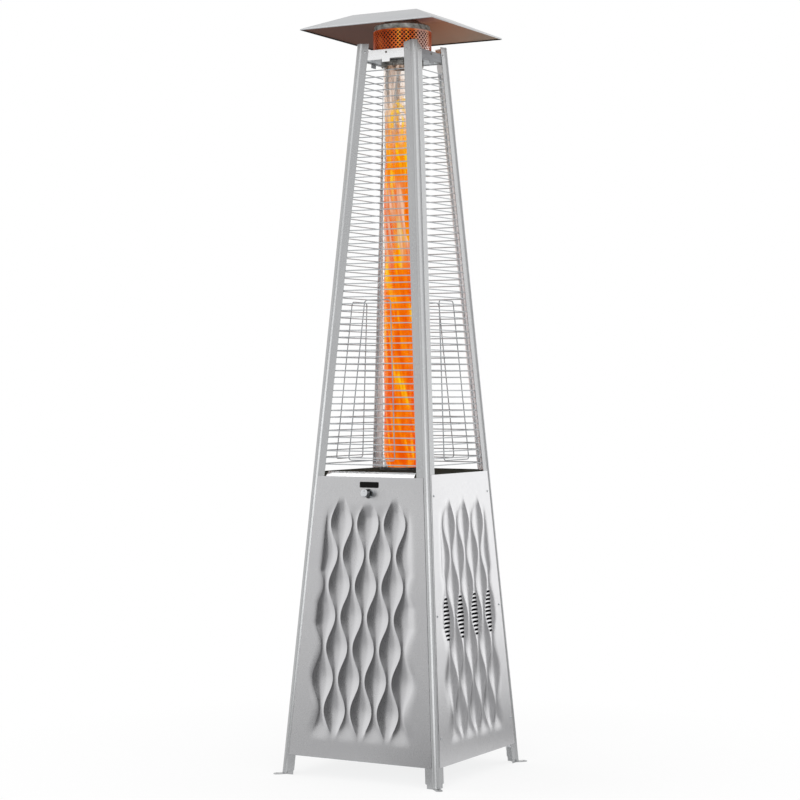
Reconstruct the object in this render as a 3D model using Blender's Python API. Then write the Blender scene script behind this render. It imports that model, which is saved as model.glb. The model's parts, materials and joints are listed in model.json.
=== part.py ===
"""Pyramid patio heater: a tall four-sided gas heater whose flame stands in a glass tube.

The origin is on the floor at the middle of the base and +Z is up. The front, with the control knob
and the tilting panel, faces -Y. All four sides lean in alike, so a piece that repeats is drawn for
the front side or the front right corner and turned a quarter at a time. All sizes are in metres.
"""

import math

import bmesh
import bpy
from mathutils import Matrix, Vector

# Tower: half widths are from the middle to the centre of a post's round nose. The deck's height and
# the tube's length set how tall it is
BASE_HALF = 0.2485
TOP_HALF = 0.0884
DECK_CROWN = 0.8815
TUBE_LENGTH = 1.228
GAP = 0.0003
OVERRUN = 0.004
WELD = 1e-6

# Posts: a rolled angle with a round nose
NOSE_RADIUS = 0.0115
POST_SHEET = 0.0015
FLANGE_FACE = 0.0085
FLANGE_REACH = 0.030
NOSE_STEPS = 8
FLANGE_CUT_NEAR = 0.008
FLANGE_CUT_FAR = 0.013

# Feet
FOOT_SHEET = 0.0025
FOOT_UPSTAND = 0.040
FOOT_LEG = 0.026
FOOT_TAB_HALF = 0.010
FOOT_TAB_REACH = 0.038
FOOT_TAB_BACK = 0.008
FOOT_BOLT_RADIUS = 0.0035
FOOT_TAB_STEPS = 6

# Base panels with their pressed waves
PANEL_SHEET = 0.001
PANEL_LOW = 0.058
PANEL_BELOW_CROWN = 0.0055
PANEL_EDGE = 0.0083
WAVE_PITCH = 0.0442
WAVE_SWAY = 0.0134
WAVE_LENGTH = 0.179
WAVE_DEPTH = 0.015
WAVE_LOW = 0.106
WAVE_BELOW_CROWN = 0.0735
WAVE_FADE = 0.026
WAVE_MARGIN = 0.052
WAVE_RIDGES = 8
WAVE_POINTS_PER_LENGTH = 6
NECK_POWER_SHARE = 0.6

# Tilting front panel
DOOR_BELOW_CROWN = 0.0145
DOOR_LIP_RISE = 0.014
DOOR_LIP_DEPTH = 0.012
DOOR_WAVE_DIP = 0.017
KNOB_HOLE_RADIUS = 0.0138
TONGUE_WIDTH = 0.040
TONGUE_SPACING = 0.240
TONGUE_LENGTH = 0.0138
TONGUE_SHEET = 0.0015

# Label plate
LABEL_BELOW_CROWN = 0.037
LABEL_WIDTH = 0.062
LABEL_HEIGHT = 0.017
LABEL_SHEET = 0.0012
LABEL_CORNER = 0.003

# Cylinder tray
TRAY_SHEET = 0.0012
TRAY_UPSTAND = 0.030
TRAY_SLOT_HEIGHT = 0.009
TRAY_SLOT_PLAY = 0.002
TRAY_RING_RADIUS = 0.105
TRAY_RING_WIDTH = 0.006
TRAY_RING_HEIGHT = 0.008

# Deck over the base
DECK_SHEET = 0.0012
DECK_HOLE = 0.052
DECK_FLAT = 0.088
DECK_SHOULDER_DROP = 0.004
DECK_EDGE_DROP = 0.016
DECK_SKIRT = 0.018
DECK_SHOULDER_INSET = 0.016
DECK_CORNER = 0.010
DECK_CORNER_STEPS = 5

# Burner and its pan
PAN_RADIUS = 0.085
PAN_DEPTH = 0.0655
PAN_SHEET = 0.001
PAN_PIPE_HOLE = 0.008
BURNER_FOOT = 0.020
BURNER_FOOT_SHEET = 0.002
BURNER_NECK = 0.012
BURNER_HEAD = 0.038
BURNER_HEAD_SUNK = 0.0135
BURNER_HEAD_HEIGHT = 0.019
BURNER_CHAMFER = 0.004
PROBE_CIRCLE = 0.0455
PROBE_FOOT = 0.0045
PROBE_FOOT_HEIGHT = 0.004
PILOT_RADIUS = 0.0036
PILOT_STANDS = 0.0075
ELECTRODE_RADIUS = 0.0028
ELECTRODE_TIP = 0.0012
ELECTRODE_STANDS = 0.0155
THERMOCOUPLE_RADIUS = 0.0026
THERMOCOUPLE_STANDS = 0.0115

# Glass tube and what holds it
TUBE_RADIUS = 0.0572
TUBE_WALL = 0.0025
SEAT_WIDTH = 0.009
SEAT_HEIGHT = 0.008
COLLAR_WIDTH = 0.005
COLLAR_HEIGHT = 0.016
TUBE_PLAY = 0.0004
TOP_PLATE_PLAY = 0.0015

# Guards between the posts
WIRE = 0.0032
RUNG_PITCH = 0.0195
RUNG_ABOVE_CROWN = 0.020
RUNG_BELOW_BAR = 0.034
RAIL_WIDTH = 0.005
RAIL_INSET = 0.020
RAIL_OVERHANG = 0.007
RAIL_KNOT_EVERY = 6

# Stiffener loop of each guard
LOOP_ABOVE_CROWN = 0.0325
LOOP_HEIGHT = 0.465
LOOP_LOW_HALF = 0.077
LOOP_TOP_HALF = 0.043
LOOP_CORNER = 0.011
LOOP_CORNER_STEPS = 2

# Bars that tie the posts' tops, and the plate on them
TUBE_ABOVE_BAR = 0.0238
BAR_HEIGHT = 0.027
POST_ABOVE_BAR = 0.022
BAR_SHEET = 0.0012
BAR_SHELF = 0.012
BAR_INSET = 0.013
BAR_TAB_WIDTH = 0.026
BAR_TAB_DROP = 0.010
TOP_PLATE_SHEET = 0.0015
TOP_PLATE_CORNER = 0.004

# Emitter
SCREEN_RADIUS = 0.086
SCREEN_SHEET = 0.0008
SCREEN_HEIGHT = 0.093
CAP_SHEET = 0.001
CAP_BAND_RADIUS = 0.0825
CAP_BAND_HEIGHT = 0.020
CAP_TOP_RADIUS = 0.050
CAP_CHAMFER = 0.0085

# Hood
HOOD_ABOVE_CAP = 0.0089
HOOD_TOP_HALF = 0.108
HOOD_RIM_HALF = 0.2205
HOOD_DROP = 0.0485
HOOD_LIP = 0.006
HOOD_SHEET = 0.001
STUD_COUNT = 3
STUD_CIRCLE = 0.036
STUD_RADIUS = 0.0025
STUD_SPACER_RADIUS = 0.006
STUD_HOLE_PLAY = 0.0004
NUT_RADIUS = 0.006
NUT_HEIGHT = 0.005
NUT_DOME_SHARE = 0.55

# Gas control, measured out along the knob's axis from the plane of the nose centres
KNOB_BELOW_CROWN = 0.0625
KNOB_RADIUS = 0.0115
KNOB_WAIST = 0.0098
KNOB_BACK = 0.0112
KNOB_LENGTH = 0.0262
KNOB_EDGE = 0.0012
KNOB_SHARE_OF_WAIST = 0.45
KNOB_BORE_DEPTH = 0.017
STEM_RADIUS = 0.003
STEM_BACK = -0.018
STEM_PLAY = 0.0003
SLEEVE_RADIUS = 0.0065
SLEEVE_BACK = -0.014
SLEEVE_FRONT = 0.002
VALVE_BORE_BACK = -0.024
VALVE_NOSE_RADIUS = 0.011
VALVE_NOSE_FRONT = -0.002
VALVE_FACE = -0.010
VALVE_BACK = -0.058
VALVE_HALF_WIDTH = 0.018
VALVE_HALF_HEIGHT = 0.021
BRACKET_FACE = -0.004
BRACKET_SHEET = 0.0015
BRACKET_HALF_WIDTH = 0.045
BRACKET_HEIGHT = 0.075
BRACKET_SHELF = 0.022
INLET_RADIUS = 0.0065
INLET_NUT_RADIUS = 0.010
INLET_NUT_HEIGHT = 0.009
INLET_LENGTH = 0.034
PIEZO_RADIUS = 0.008
PIEZO_BACK = -0.050
PIEZO_FRONT = -0.006
PIPE_RADIUS = 0.004
PIPE_STEPS = 14
TILT_RADIUS = 0.011
TILT_HEIGHT = 0.018
TILT_X = 0.032

# Magnets that hold the tilting panel shut
MAGNET_WIDTH = 0.030
MAGNET_HEIGHT = 0.011
MAGNET_SPACING = 0.200

# Round pieces
ROUND_STEPS = 24
BORE_STEPS = 16
SMALL_STEPS = 12
SMOOTH_ANGLE = math.radians(35)
QUARTER = math.pi / 2
SIDES = ("front", "right", "back", "left")
CORNERS = ("front_right", "back_right", "back_left", "front_left")

TUBE_LOW = DECK_CROWN + GAP
TUBE_TOP = TUBE_LOW + TUBE_LENGTH
BAR_LOW = TUBE_TOP - TUBE_ABOVE_BAR
BAR_TOP = BAR_LOW + BAR_HEIGHT
POST_TOP = BAR_TOP + POST_ABOVE_BAR
LEAN = (BASE_HALF - TOP_HALF) / POST_TOP
LEAN_ANGLE = math.atan(LEAN)
PANEL_TOP = DECK_CROWN - PANEL_BELOW_CROWN
DOOR_TOP = DECK_CROWN - DOOR_BELOW_CROWN
WAVE_TOP = DECK_CROWN - WAVE_BELOW_CROWN
WAVE_START = WAVE_LOW + WAVE_LENGTH / 4
LABEL_Z = DECK_CROWN - LABEL_BELOW_CROWN
KNOB_Z = DECK_CROWN - KNOB_BELOW_CROWN
DECK_SHOULDER = DECK_CROWN - DECK_SHOULDER_DROP
DECK_EDGE = DECK_CROWN - DECK_EDGE_DROP
BRACKET_LOW = DECK_EDGE - BRACKET_HEIGHT
PAN_FLOOR = DECK_CROWN - PAN_DEPTH
BURNER_HEAD_LOW = DECK_CROWN - BURNER_HEAD_SUNK
BURNER_HEAD_TOP = BURNER_HEAD_LOW + BURNER_HEAD_HEIGHT
RUNG_LOWEST = DECK_CROWN + RUNG_ABOVE_CROWN
RUNG_COUNT = 1 + round((BAR_LOW - RUNG_BELOW_BAR - RUNG_LOWEST) / RUNG_PITCH)
LOOP_LOW = DECK_CROWN + LOOP_ABOVE_CROWN
LOOP_TOP = LOOP_LOW + LOOP_HEIGHT
FLANGE_BACK = FLANGE_FACE - POST_SHEET
PANEL_BACK = FLANGE_FACE + GAP
PANEL_FRONT = PANEL_BACK + PANEL_SHEET
INSIDE_FACE = FLANGE_BACK - GAP
SHELF_TOP = BAR_LOW + BAR_SHEET
TOP_PLATE_LOW = SHELF_TOP + GAP
TOP_PLATE_TOP = TOP_PLATE_LOW + TOP_PLATE_SHEET
SCREEN_LOW = TOP_PLATE_TOP + GAP
CAP_LOW = SCREEN_LOW + SCREEN_HEIGHT + GAP
CAP_TOP = CAP_LOW + CAP_BAND_HEIGHT + CAP_CHAMFER
HOOD_TOP = CAP_TOP + HOOD_ABOVE_CAP
TRAY_LOW = PANEL_LOW - GAP - TRAY_SHEET

FINISHES = {
    "steel": ((0.52, 0.52, 0.53), 0.38, 1.0),
    "bright_steel": ((0.72, 0.72, 0.73), 0.22, 1.0),
    "wire": ((0.46, 0.47, 0.48), 0.35, 1.0),
    "dark_steel": ((0.09, 0.09, 0.09), 0.5, 1.0),
    "chrome": ((0.75, 0.75, 0.76), 0.08, 1.0),
    "glass": ((0.9, 0.93, 0.95), 0.03, 0.0),
    "emitter": ((0.42, 0.13, 0.04), 0.45, 0.6),
    "black_paint": ((0.02, 0.02, 0.02), 0.45, 0.0),
    "brass": ((0.62, 0.44, 0.18), 0.3, 1.0),
    "ceramic": ((0.78, 0.76, 0.7), 0.6, 0.0),
}


def half_at(z):
    """Half the distance between two posts' nose centres at a height."""
    return BASE_HALF - LEAN * z


def on_face(x, z, out):
    """A point on the front side, out from the plane of the nose centres."""
    return Vector((x, -half_at(z) - out, z))


def at_corner(across, along, z):
    """A point at the front right post, as offsets out from its nose centre on its two sides."""
    return Vector((half_at(z) + across, -half_at(z) - along, z))


def knob_frame():
    """Z points out along the knob's axis, which is square to the leaning front."""
    place = on_face(0, KNOB_Z, 0)
    return Matrix.Translation(place) @ Matrix.Rotation(QUARTER - LEAN_ANGLE, 4, "X")


def clear_scene():
    for old in list(bpy.data.objects):
        bpy.data.objects.remove(old)


def finish_of(name):
    """The shared material of one finish."""
    known = bpy.data.materials.get(name)
    if known:
        return known
    colour, roughness, metallic = FINISHES[name]
    made = bpy.data.materials.new(name)
    made.use_nodes = True
    shader = made.node_tree.nodes["Principled BSDF"]
    shader.inputs["Base Color"].default_value = (*colour, 1)
    shader.inputs["Roughness"].default_value = roughness
    shader.inputs["Metallic"].default_value = metallic
    if name == "glass":
        shader.inputs["Transmission Weight"].default_value = 1
    return made


def add_object(name, data, finish, parent=None):
    made = bpy.data.objects.new(name, data)
    bpy.context.scene.collection.objects.link(made)
    if finish and not data.materials:
        data.materials.append(finish_of(finish))
    made.parent = parent
    return made


def mesh_of(name, bm, smooth=False):
    """Closes a bmesh into a mesh with its faces pointing out."""
    bmesh.ops.recalc_face_normals(bm, faces=bm.faces)
    data = bpy.data.meshes.new(name)
    bm.to_mesh(data)
    bm.free()
    if smooth:
        data.shade_smooth()
        data.set_sharp_from_angle(angle=SMOOTH_ANGLE)
    return data


def loft(name, rings, smooth=False, caps=True):
    """Skins equal closed rings of points, one to the next, and caps both ends."""
    bm = bmesh.new()
    loops = [[bm.verts.new(point) for point in ring] for ring in rings]
    for low, high in zip(loops, loops[1:]):
        count = len(low)
        for i in range(count):
            j = (i + 1) % count
            bm.faces.new((low[i], low[j], high[j], high[i]))
    if caps:
        bm.faces.new(loops[0])
        bm.faces.new(loops[-1])
    return mesh_of(name, bm, smooth)


def turned(name, outline, steps=ROUND_STEPS, smooth=True):
    """Turns an outline of (radius, height) points round Z. It is closed unless it starts on the axis."""
    bm = bmesh.new()
    points = [bm.verts.new((radius, 0, height)) for radius, height in outline]
    pairs = list(zip(points, points[1:]))
    if outline[0][0] > 0:
        pairs.append((points[-1], points[0]))
    edges = [bm.edges.new(pair) for pair in pairs]
    full_turn = 4 * QUARTER
    line = points + edges
    axis = {"cent": (0, 0, 0), "axis": (0, 0, 1)}
    bmesh.ops.spin(bm, geom=line, angle=full_turn, steps=steps, use_merge=True, **axis)
    bmesh.ops.remove_doubles(bm, verts=bm.verts, dist=WELD)
    return mesh_of(name, bm, smooth)


def rod(radius, low, high):
    """The outline of a solid round bar, for turning."""
    return [(0, low), (radius, low), (radius, high), (0, high)]


def pipe(outer, inner, low, high):
    """The outline of a round tube, for turning."""
    return [(outer, low), (outer, high), (inner, high), (inner, low)]


def extruded(name, outline, low, high):
    """A flat outline of (x, y) points raised from one height to another."""
    rings = [[(x, y, z) for x, y in outline] for z in (low, high)]
    return loft(name, rings)


def rounded_square(half, corner, steps):
    """Points round a square with round corners, anticlockwise from the front right corner's start."""
    points = []
    for turn in range(4):
        for step in range(steps):
            angle = QUARTER * (turn - 1 + step / (steps - 1))
            middle = QUARTER * turn - QUARTER / 2
            side = (half - corner) * math.sqrt(2)
            x = side * math.cos(middle) + corner * math.cos(angle)
            y = side * math.sin(middle) + corner * math.sin(angle)
            points.append((x, y))
    return points


def helper(data, matrix=None):
    """A hidden shape that only cuts or joins."""
    made = add_object(data.name, data, None)
    if matrix:
        made.matrix_world = matrix
    made.hide_render = True
    made.display_type = "WIRE"
    return made


def combine(target, other, operation):
    modifier = target.modifiers.new(operation.lower() + "_" + other.name, "BOOLEAN")
    modifier.operation = operation
    modifier.solver = "EXACT"
    modifier.object = other


def thicken(target, thickness, even=True):
    """Gives a sheet its thickness behind its drawn face."""
    modifier = target.modifiers.new("sheet", "SOLIDIFY")
    modifier.thickness = thickness
    modifier.offset = -1
    modifier.use_even_offset = even


def four_sides(stem, data, finish, names=SIDES, skip=()):
    """One object for each side or corner, all sharing a mesh drawn for the first."""
    made = []
    for turn, name in enumerate(names):
        if name in skip:
            continue
        piece = add_object(f"{stem}_{name}", data, finish)
        piece.rotation_euler.z = turn * QUARTER
        made.append(piece)
    return made


def post_outlines():
    """Pairs of outer and inner points along the rolled section, as offsets at the nose centre."""
    inner_radius = NOSE_RADIUS - POST_SHEET
    outer_start = math.pi - math.asin(FLANGE_FACE / NOSE_RADIUS)
    inner_start = math.pi - math.asin(FLANGE_BACK / inner_radius)
    outer = [(-FLANGE_REACH, FLANGE_FACE)]
    inner = [(-FLANGE_REACH, FLANGE_BACK)]
    for step in range(NOSE_STEPS + 1):
        share = step / NOSE_STEPS
        outer_angle = outer_start + (QUARTER - 2 * outer_start) * share
        inner_angle = inner_start + (QUARTER - 2 * inner_start) * share
        outer.append((NOSE_RADIUS * math.cos(outer_angle), NOSE_RADIUS * math.sin(outer_angle)))
        inner.append((inner_radius * math.cos(inner_angle), inner_radius * math.sin(inner_angle)))
    outer.append((FLANGE_FACE, -FLANGE_REACH))
    inner.append((FLANGE_BACK, -FLANGE_REACH))
    return outer, inner


def post_bottom(index, count):
    """The flanges are cut short of the floor, on a slant; the nose reaches the foot plate."""
    from_end = min(index, count - 1 - index)
    return (FLANGE_CUT_FAR, FLANGE_CUT_NEAR)[from_end] if from_end < 2 else FOOT_SHEET + GAP


def post_mesh():
    outer, inner = post_outlines()
    count = len(outer)
    bm = bmesh.new()
    rings = {}
    for label, outline in (("outer", outer), ("inner", inner)):
        for end in ("low", "high"):
            heights = [post_bottom(i, count) if end == "low" else POST_TOP for i in range(count)]
            rings[label, end] = [bm.verts.new(at_corner(u, v, z)) for (u, v), z in zip(outline, heights)]
    for first, second in zip(range(count - 1), range(1, count)):
        for label in ("outer", "inner"):
            low, high = rings[label, "low"], rings[label, "high"]
            bm.faces.new((low[first], low[second], high[second], high[first]))
        for end in ("low", "high"):
            out, back = rings["outer", end], rings["inner", end]
            bm.faces.new((out[first], out[second], back[second], back[first]))
    for end in (0, count - 1):
        corners = [rings["outer", "low"][end], rings["outer", "high"][end]]
        corners += [rings["inner", "high"][end], rings["inner", "low"][end]]
        bm.faces.new(corners)
    return mesh_of("post", bm, smooth=True)


def add_posts():
    four_sides("post", post_mesh(), "steel", CORNERS)


def foot_leg_mesh():
    """The upright angle that stands inside the post's flanges."""
    back = INSIDE_FACE - FOOT_SHEET
    reach = -FOOT_LEG
    outline = [(reach, INSIDE_FACE), (INSIDE_FACE, INSIDE_FACE), (INSIDE_FACE, reach)]
    outline += [(back, reach), (back, back), (reach, back)]
    rings = [[at_corner(u, v, z) for u, v in outline] for z in (0, FOOT_UPSTAND)]
    return loft("foot", rings)


def add_feet():
    """Each post stands on a floor plate whose tab points out and has a hole for a ground bolt."""
    centre = at_corner(0, 0, 0)
    tab_outline = [(-FOOT_TAB_BACK, -FOOT_TAB_HALF)]
    for step in range(FOOT_TAB_STEPS + 1):
        angle = QUARTER * (2 * step / FOOT_TAB_STEPS - 1)
        x = FOOT_TAB_REACH - FOOT_TAB_HALF + FOOT_TAB_HALF * math.cos(angle)
        tab_outline.append((x, FOOT_TAB_HALF * math.sin(angle)))
    tab_outline.append((-FOOT_TAB_BACK, FOOT_TAB_HALF))
    to_corner = Matrix.Translation(centre) @ Matrix.Rotation(-QUARTER / 2, 4, "Z")
    tab = helper(extruded("foot_tab", tab_outline, 0, FOOT_SHEET), to_corner)
    bolt = turned("foot_bolt_hole", rod(FOOT_BOLT_RADIUS, -OVERRUN, FOOT_SHEET + OVERRUN), BORE_STEPS)
    hole = helper(bolt, to_corner @ Matrix.Translation((FOOT_TAB_REACH - FOOT_TAB_HALF, 0, 0)))
    for turn, foot in enumerate(four_sides("foot", foot_leg_mesh(), "steel", CORNERS)):
        for other, operation in ((tab, "UNION"), (hole, "DIFFERENCE")):
            cutter = other
            if turn:
                cutter = helper(other.data, Matrix.Rotation(turn * QUARTER, 4, "Z") @ other.matrix_world)
            combine(foot, cutter, operation)


def ridge_at(index, z):
    """Where a ridge runs: neighbours sway opposite ways, and the outer ones stop at a straight margin."""
    sway = WAVE_SWAY * math.sin(4 * QUARTER * (z - WAVE_START) / WAVE_LENGTH)
    middle = (index - (WAVE_RIDGES - 1) / 2) * WAVE_PITCH
    place = middle + (sway if index % 2 == 0 else -sway)
    limit = half_at(z) - WAVE_MARGIN
    return max(-limit, min(limit, place))


def wave_depth(width, z, wave_top):
    """How deep a valley is pressed: less where its two ridges come close, and nothing at both ends."""
    widest = WAVE_PITCH + 2 * WAVE_SWAY
    from_end = min(z - WAVE_LOW, wave_top - z)
    fade = max(0, min(1, from_end / WAVE_FADE))
    return WAVE_DEPTH * (width / widest) ** NECK_POWER_SHARE * fade


def wave_levels():
    """Heights of the valleys' points: where the ridges are widest apart or closest, and both fades."""
    widest = WAVE_START + WAVE_LENGTH / 4
    levels = [WAVE_LOW, WAVE_LOW + WAVE_FADE]
    while widest < WAVE_TOP - WAVE_FADE:
        levels.append(widest)
        widest += WAVE_LENGTH / 2
    return levels + [WAVE_TOP - WAVE_FADE, WAVE_TOP]


def ridge_heights():
    """For each step between two levels, the heights of the ridges' points in it."""
    spans = []
    levels = wave_levels()
    for low, high in zip(levels, levels[1:]):
        steps = max(1, round((high - low) * WAVE_POINTS_PER_LENGTH / WAVE_LENGTH))
        spans.append([low + (high - low) * i / steps for i in range(steps + 1)])
    return spans


def fan_strip(bm, ridge, valley):
    """Fills the slope between a ridge's points, which are many, and a valley's, which are few."""
    spans = ridge_heights()
    start = 0
    for level, span in enumerate(spans):
        steps = len(span) - 1
        low_steps = (steps + 1) // 2
        for i in range(steps):
            foot = valley[level] if i < low_steps else valley[level + 1]
            bm.faces.new((foot, ridge[start + i], ridge[start + i + 1]))
        bm.faces.new((valley[level], ridge[start + low_steps], valley[level + 1]))
        start += steps


def panel_sheet(top, dip=0, top_split=None):
    """The outer face of a base panel: flat margins round ridges that sway and valleys between them."""
    levels = wave_levels()
    heights = [z for span in ridge_heights() for z in span[:-1]] + [WAVE_TOP]
    bm = bmesh.new()
    ridges = []
    for index in range(WAVE_RIDGES):
        ridges.append([bm.verts.new(on_face(ridge_at(index, z), z, PANEL_FRONT)) for z in heights])
    valleys = []
    for index in range(WAVE_RIDGES - 1):
        wave_top = WAVE_TOP - dip if index == (WAVE_RIDGES - 2) // 2 else WAVE_TOP
        valley = []
        for z in levels:
            left, right = ridge_at(index, z), ridge_at(index + 1, z)
            out = PANEL_FRONT - wave_depth(right - left, z, wave_top)
            valley.append(bm.verts.new(on_face((left + right) / 2, z, out)))
        valleys.append(valley)
        fan_strip(bm, ridges[index], valley)
        fan_strip(bm, ridges[index + 1], valley)
    edges = {}
    for z in (PANEL_LOW, WAVE_LOW, WAVE_TOP, top):
        for sign in (-1, 1):
            edges[sign, z] = bm.verts.new(on_face(sign * (half_at(z) - PANEL_EDGE), z, PANEL_FRONT))
    for end, wave_end, outer in ((0, WAVE_LOW, PANEL_LOW), (-1, WAVE_TOP, top)):
        line = [edges[-1, wave_end], ridges[0][end]]
        for valley, ridge in zip(valleys, ridges[1:]):
            line += [valley[end], ridge[end]]
        far = [edges[1, wave_end], edges[1, outer]]
        if outer == top and top_split:
            split = [bm.verts.new(on_face(sign * top_split, top, PANEL_FRONT)) for sign in (1, -1)]
            far += split
        bm.faces.new(line + far + [edges[-1, outer]])
    for sign, ridge in ((-1, ridges[0]), (1, ridges[-1])):
        bm.faces.new([edges[sign, WAVE_LOW], *ridge, edges[sign, WAVE_TOP]])
    bmesh.ops.recalc_face_normals(bm, faces=bm.faces)
    some = bm.faces[:][0]
    if some.normal.y > 0:
        bmesh.ops.reverse_faces(bm, faces=bm.faces)
    return bm, split[::-1] if top_split else None


def add_panels():
    """Three fixed panels lie on the posts' flanges, from nose to nose."""
    bm, _ = panel_sheet(PANEL_TOP)
    data = bpy.data.meshes.new("panel")
    bm.to_mesh(data)
    bm.free()
    for panel in four_sides("panel", data, "steel", skip=("front",)):
        thicken(panel, PANEL_SHEET, even=False)


def lip_end(z):
    """Where the front panel's folded lip ends: just inside the flanges."""
    return half_at(z) - FLANGE_REACH - GAP


def add_door(pivot):
    """The front panel: a pressed sheet with a folded top lip, a knob hole and two tongues to stand on."""
    bm, split = panel_sheet(DOOR_TOP, DOOR_WAVE_DIP, lip_end(DOOR_TOP))
    lip_z = DOOR_TOP + DOOR_LIP_RISE
    reach = lip_end(lip_z) - DOOR_LIP_DEPTH
    lip = [bm.verts.new(on_face(x, lip_z, PANEL_FRONT - DOOR_LIP_DEPTH)) for x in (-reach, reach)]
    bm.faces.new((split[0], split[1], lip[1], lip[0]))
    data = bpy.data.meshes.new("front_panel")
    bm.to_mesh(data)
    bm.free()
    door = add_object("front_panel", data, "steel", pivot)
    door.matrix_parent_inverse = pivot.matrix_world.inverted()
    thicken(door, PANEL_SHEET, even=False)
    length = KNOB_BACK + OVERRUN
    centre = Matrix.Translation(knob_frame().to_3x3() @ Vector((0, 0, PANEL_BACK)))
    hole = turned("knob_hole", rod(KNOB_HOLE_RADIUS, -length, length), BORE_STEPS)
    combine(door, helper(hole, centre @ knob_frame()), "DIFFERENCE")
    for side in (-1, 1):
        middle = side * TONGUE_SPACING / 2
        start = PANEL_BACK + PANEL_SHEET / 2
        rings = []
        for x in (middle - TONGUE_WIDTH / 2, middle + TONGUE_WIDTH / 2):
            corners = [(PANEL_LOW, start), (PANEL_LOW + TONGUE_SHEET, start)]
            corners += [(PANEL_LOW + TONGUE_SHEET, start - TONGUE_LENGTH), (PANEL_LOW, start - TONGUE_LENGTH)]
            rings.append([(x, -half_at(PANEL_LOW) - out, z) for z, out in corners])
        name = "tongue_right" if side > 0 else "tongue_left"
        combine(door, helper(loft(name, rings)), "UNION")


def add_label(pivot):
    """A bare plate above the knob."""
    outline = []
    for turn in range(4):
        corner_x = (LABEL_WIDTH / 2 - LABEL_CORNER) * (1 if turn in (0, 3) else -1)
        corner_y = (LABEL_HEIGHT / 2 - LABEL_CORNER) * (1 if turn < 2 else -1)
        for step in range(3):
            angle = QUARTER * (turn + step / 2)
            x = corner_x + LABEL_CORNER * math.cos(angle)
            outline.append((x, corner_y + LABEL_CORNER * math.sin(angle)))
    low = PANEL_FRONT + GAP
    data = extruded("label_plate", outline, low, low + LABEL_SHEET)
    frame = Matrix.Translation(on_face(0, LABEL_Z, 0)) @ Matrix.Rotation(QUARTER - LEAN_ANGLE, 4, "X")
    data.transform(frame)
    plate = add_object("label_plate", data, "black_paint", pivot)
    plate.matrix_parent_inverse = pivot.matrix_world.inverted()


def add_tray():
    """The floor of the base, which carries the gas cylinder. The front panel hooks into two slots."""
    top = TRAY_LOW + TRAY_UPSTAND
    bm = bmesh.new()
    rings = []
    for z in (TRAY_LOW, top):
        half = half_at(z) + INSIDE_FACE
        rings.append([bm.verts.new((x * half, y * half, z)) for x, y in ((-1, -1), (1, -1), (1, 1), (-1, 1))])
    bm.faces.new(rings[0][::-1])
    for i in range(4):
        j = (i + 1) % 4
        bm.faces.new((rings[0][i], rings[0][j], rings[1][j], rings[1][i]))
    data = bpy.data.meshes.new("cylinder_tray")
    bm.to_mesh(data)
    bm.free()
    tray = add_object("cylinder_tray", data, "steel")
    thicken(tray, TRAY_SHEET)
    slot_half = TONGUE_WIDTH / 2 + TRAY_SLOT_PLAY
    floor = TRAY_LOW + TRAY_SHEET
    front = -half_at(floor) - INSIDE_FACE - OVERRUN
    back = front + TRAY_SHEET + 2 * OVERRUN
    for name, side in (("slot_left", -1), ("slot_right", 1)):
        middle = side * TONGUE_SPACING / 2
        outline = [(middle - slot_half, front), (middle + slot_half, front)]
        outline += [(middle + slot_half, back), (middle - slot_half, back)]
        combine(tray, helper(extruded(name, outline, floor, floor + TRAY_SLOT_HEIGHT)), "DIFFERENCE")
    inner = TRAY_RING_RADIUS - TRAY_RING_WIDTH
    sunk = floor - TRAY_SHEET / 2
    ring = pipe(TRAY_RING_RADIUS, inner, sunk, floor + TRAY_RING_HEIGHT)
    combine(tray, helper(turned("tray_ring", ring)), "UNION")


def add_deck():
    """The dark crowned plate on top of the base, with the burner's hole in its middle."""
    edge = half_at(DECK_EDGE) + INSIDE_FACE
    skirt = half_at(DECK_EDGE - DECK_SKIRT) + INSIDE_FACE
    shoulder = edge - DECK_SHOULDER_INSET
    bands = [(DECK_HOLE, DECK_HOLE, DECK_CROWN), (DECK_FLAT, DECK_FLAT, DECK_CROWN)]
    bands += [(shoulder, DECK_SHOULDER_INSET, DECK_SHOULDER), (edge, DECK_CORNER, DECK_EDGE)]
    bands += [(skirt, DECK_CORNER, DECK_EDGE - DECK_SKIRT)]
    rings = []
    for half, corner, z in bands:
        rings.append([(x, y, z) for x, y in rounded_square(half, corner, DECK_CORNER_STEPS)])
    data = loft("deck_plate", rings, smooth=True, caps=False)
    if data.polygons[0].normal.z < 0:
        data.flip_normals()
    deck = add_object("deck_plate", data, "dark_steel")
    thicken(deck, DECK_SHEET)


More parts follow.
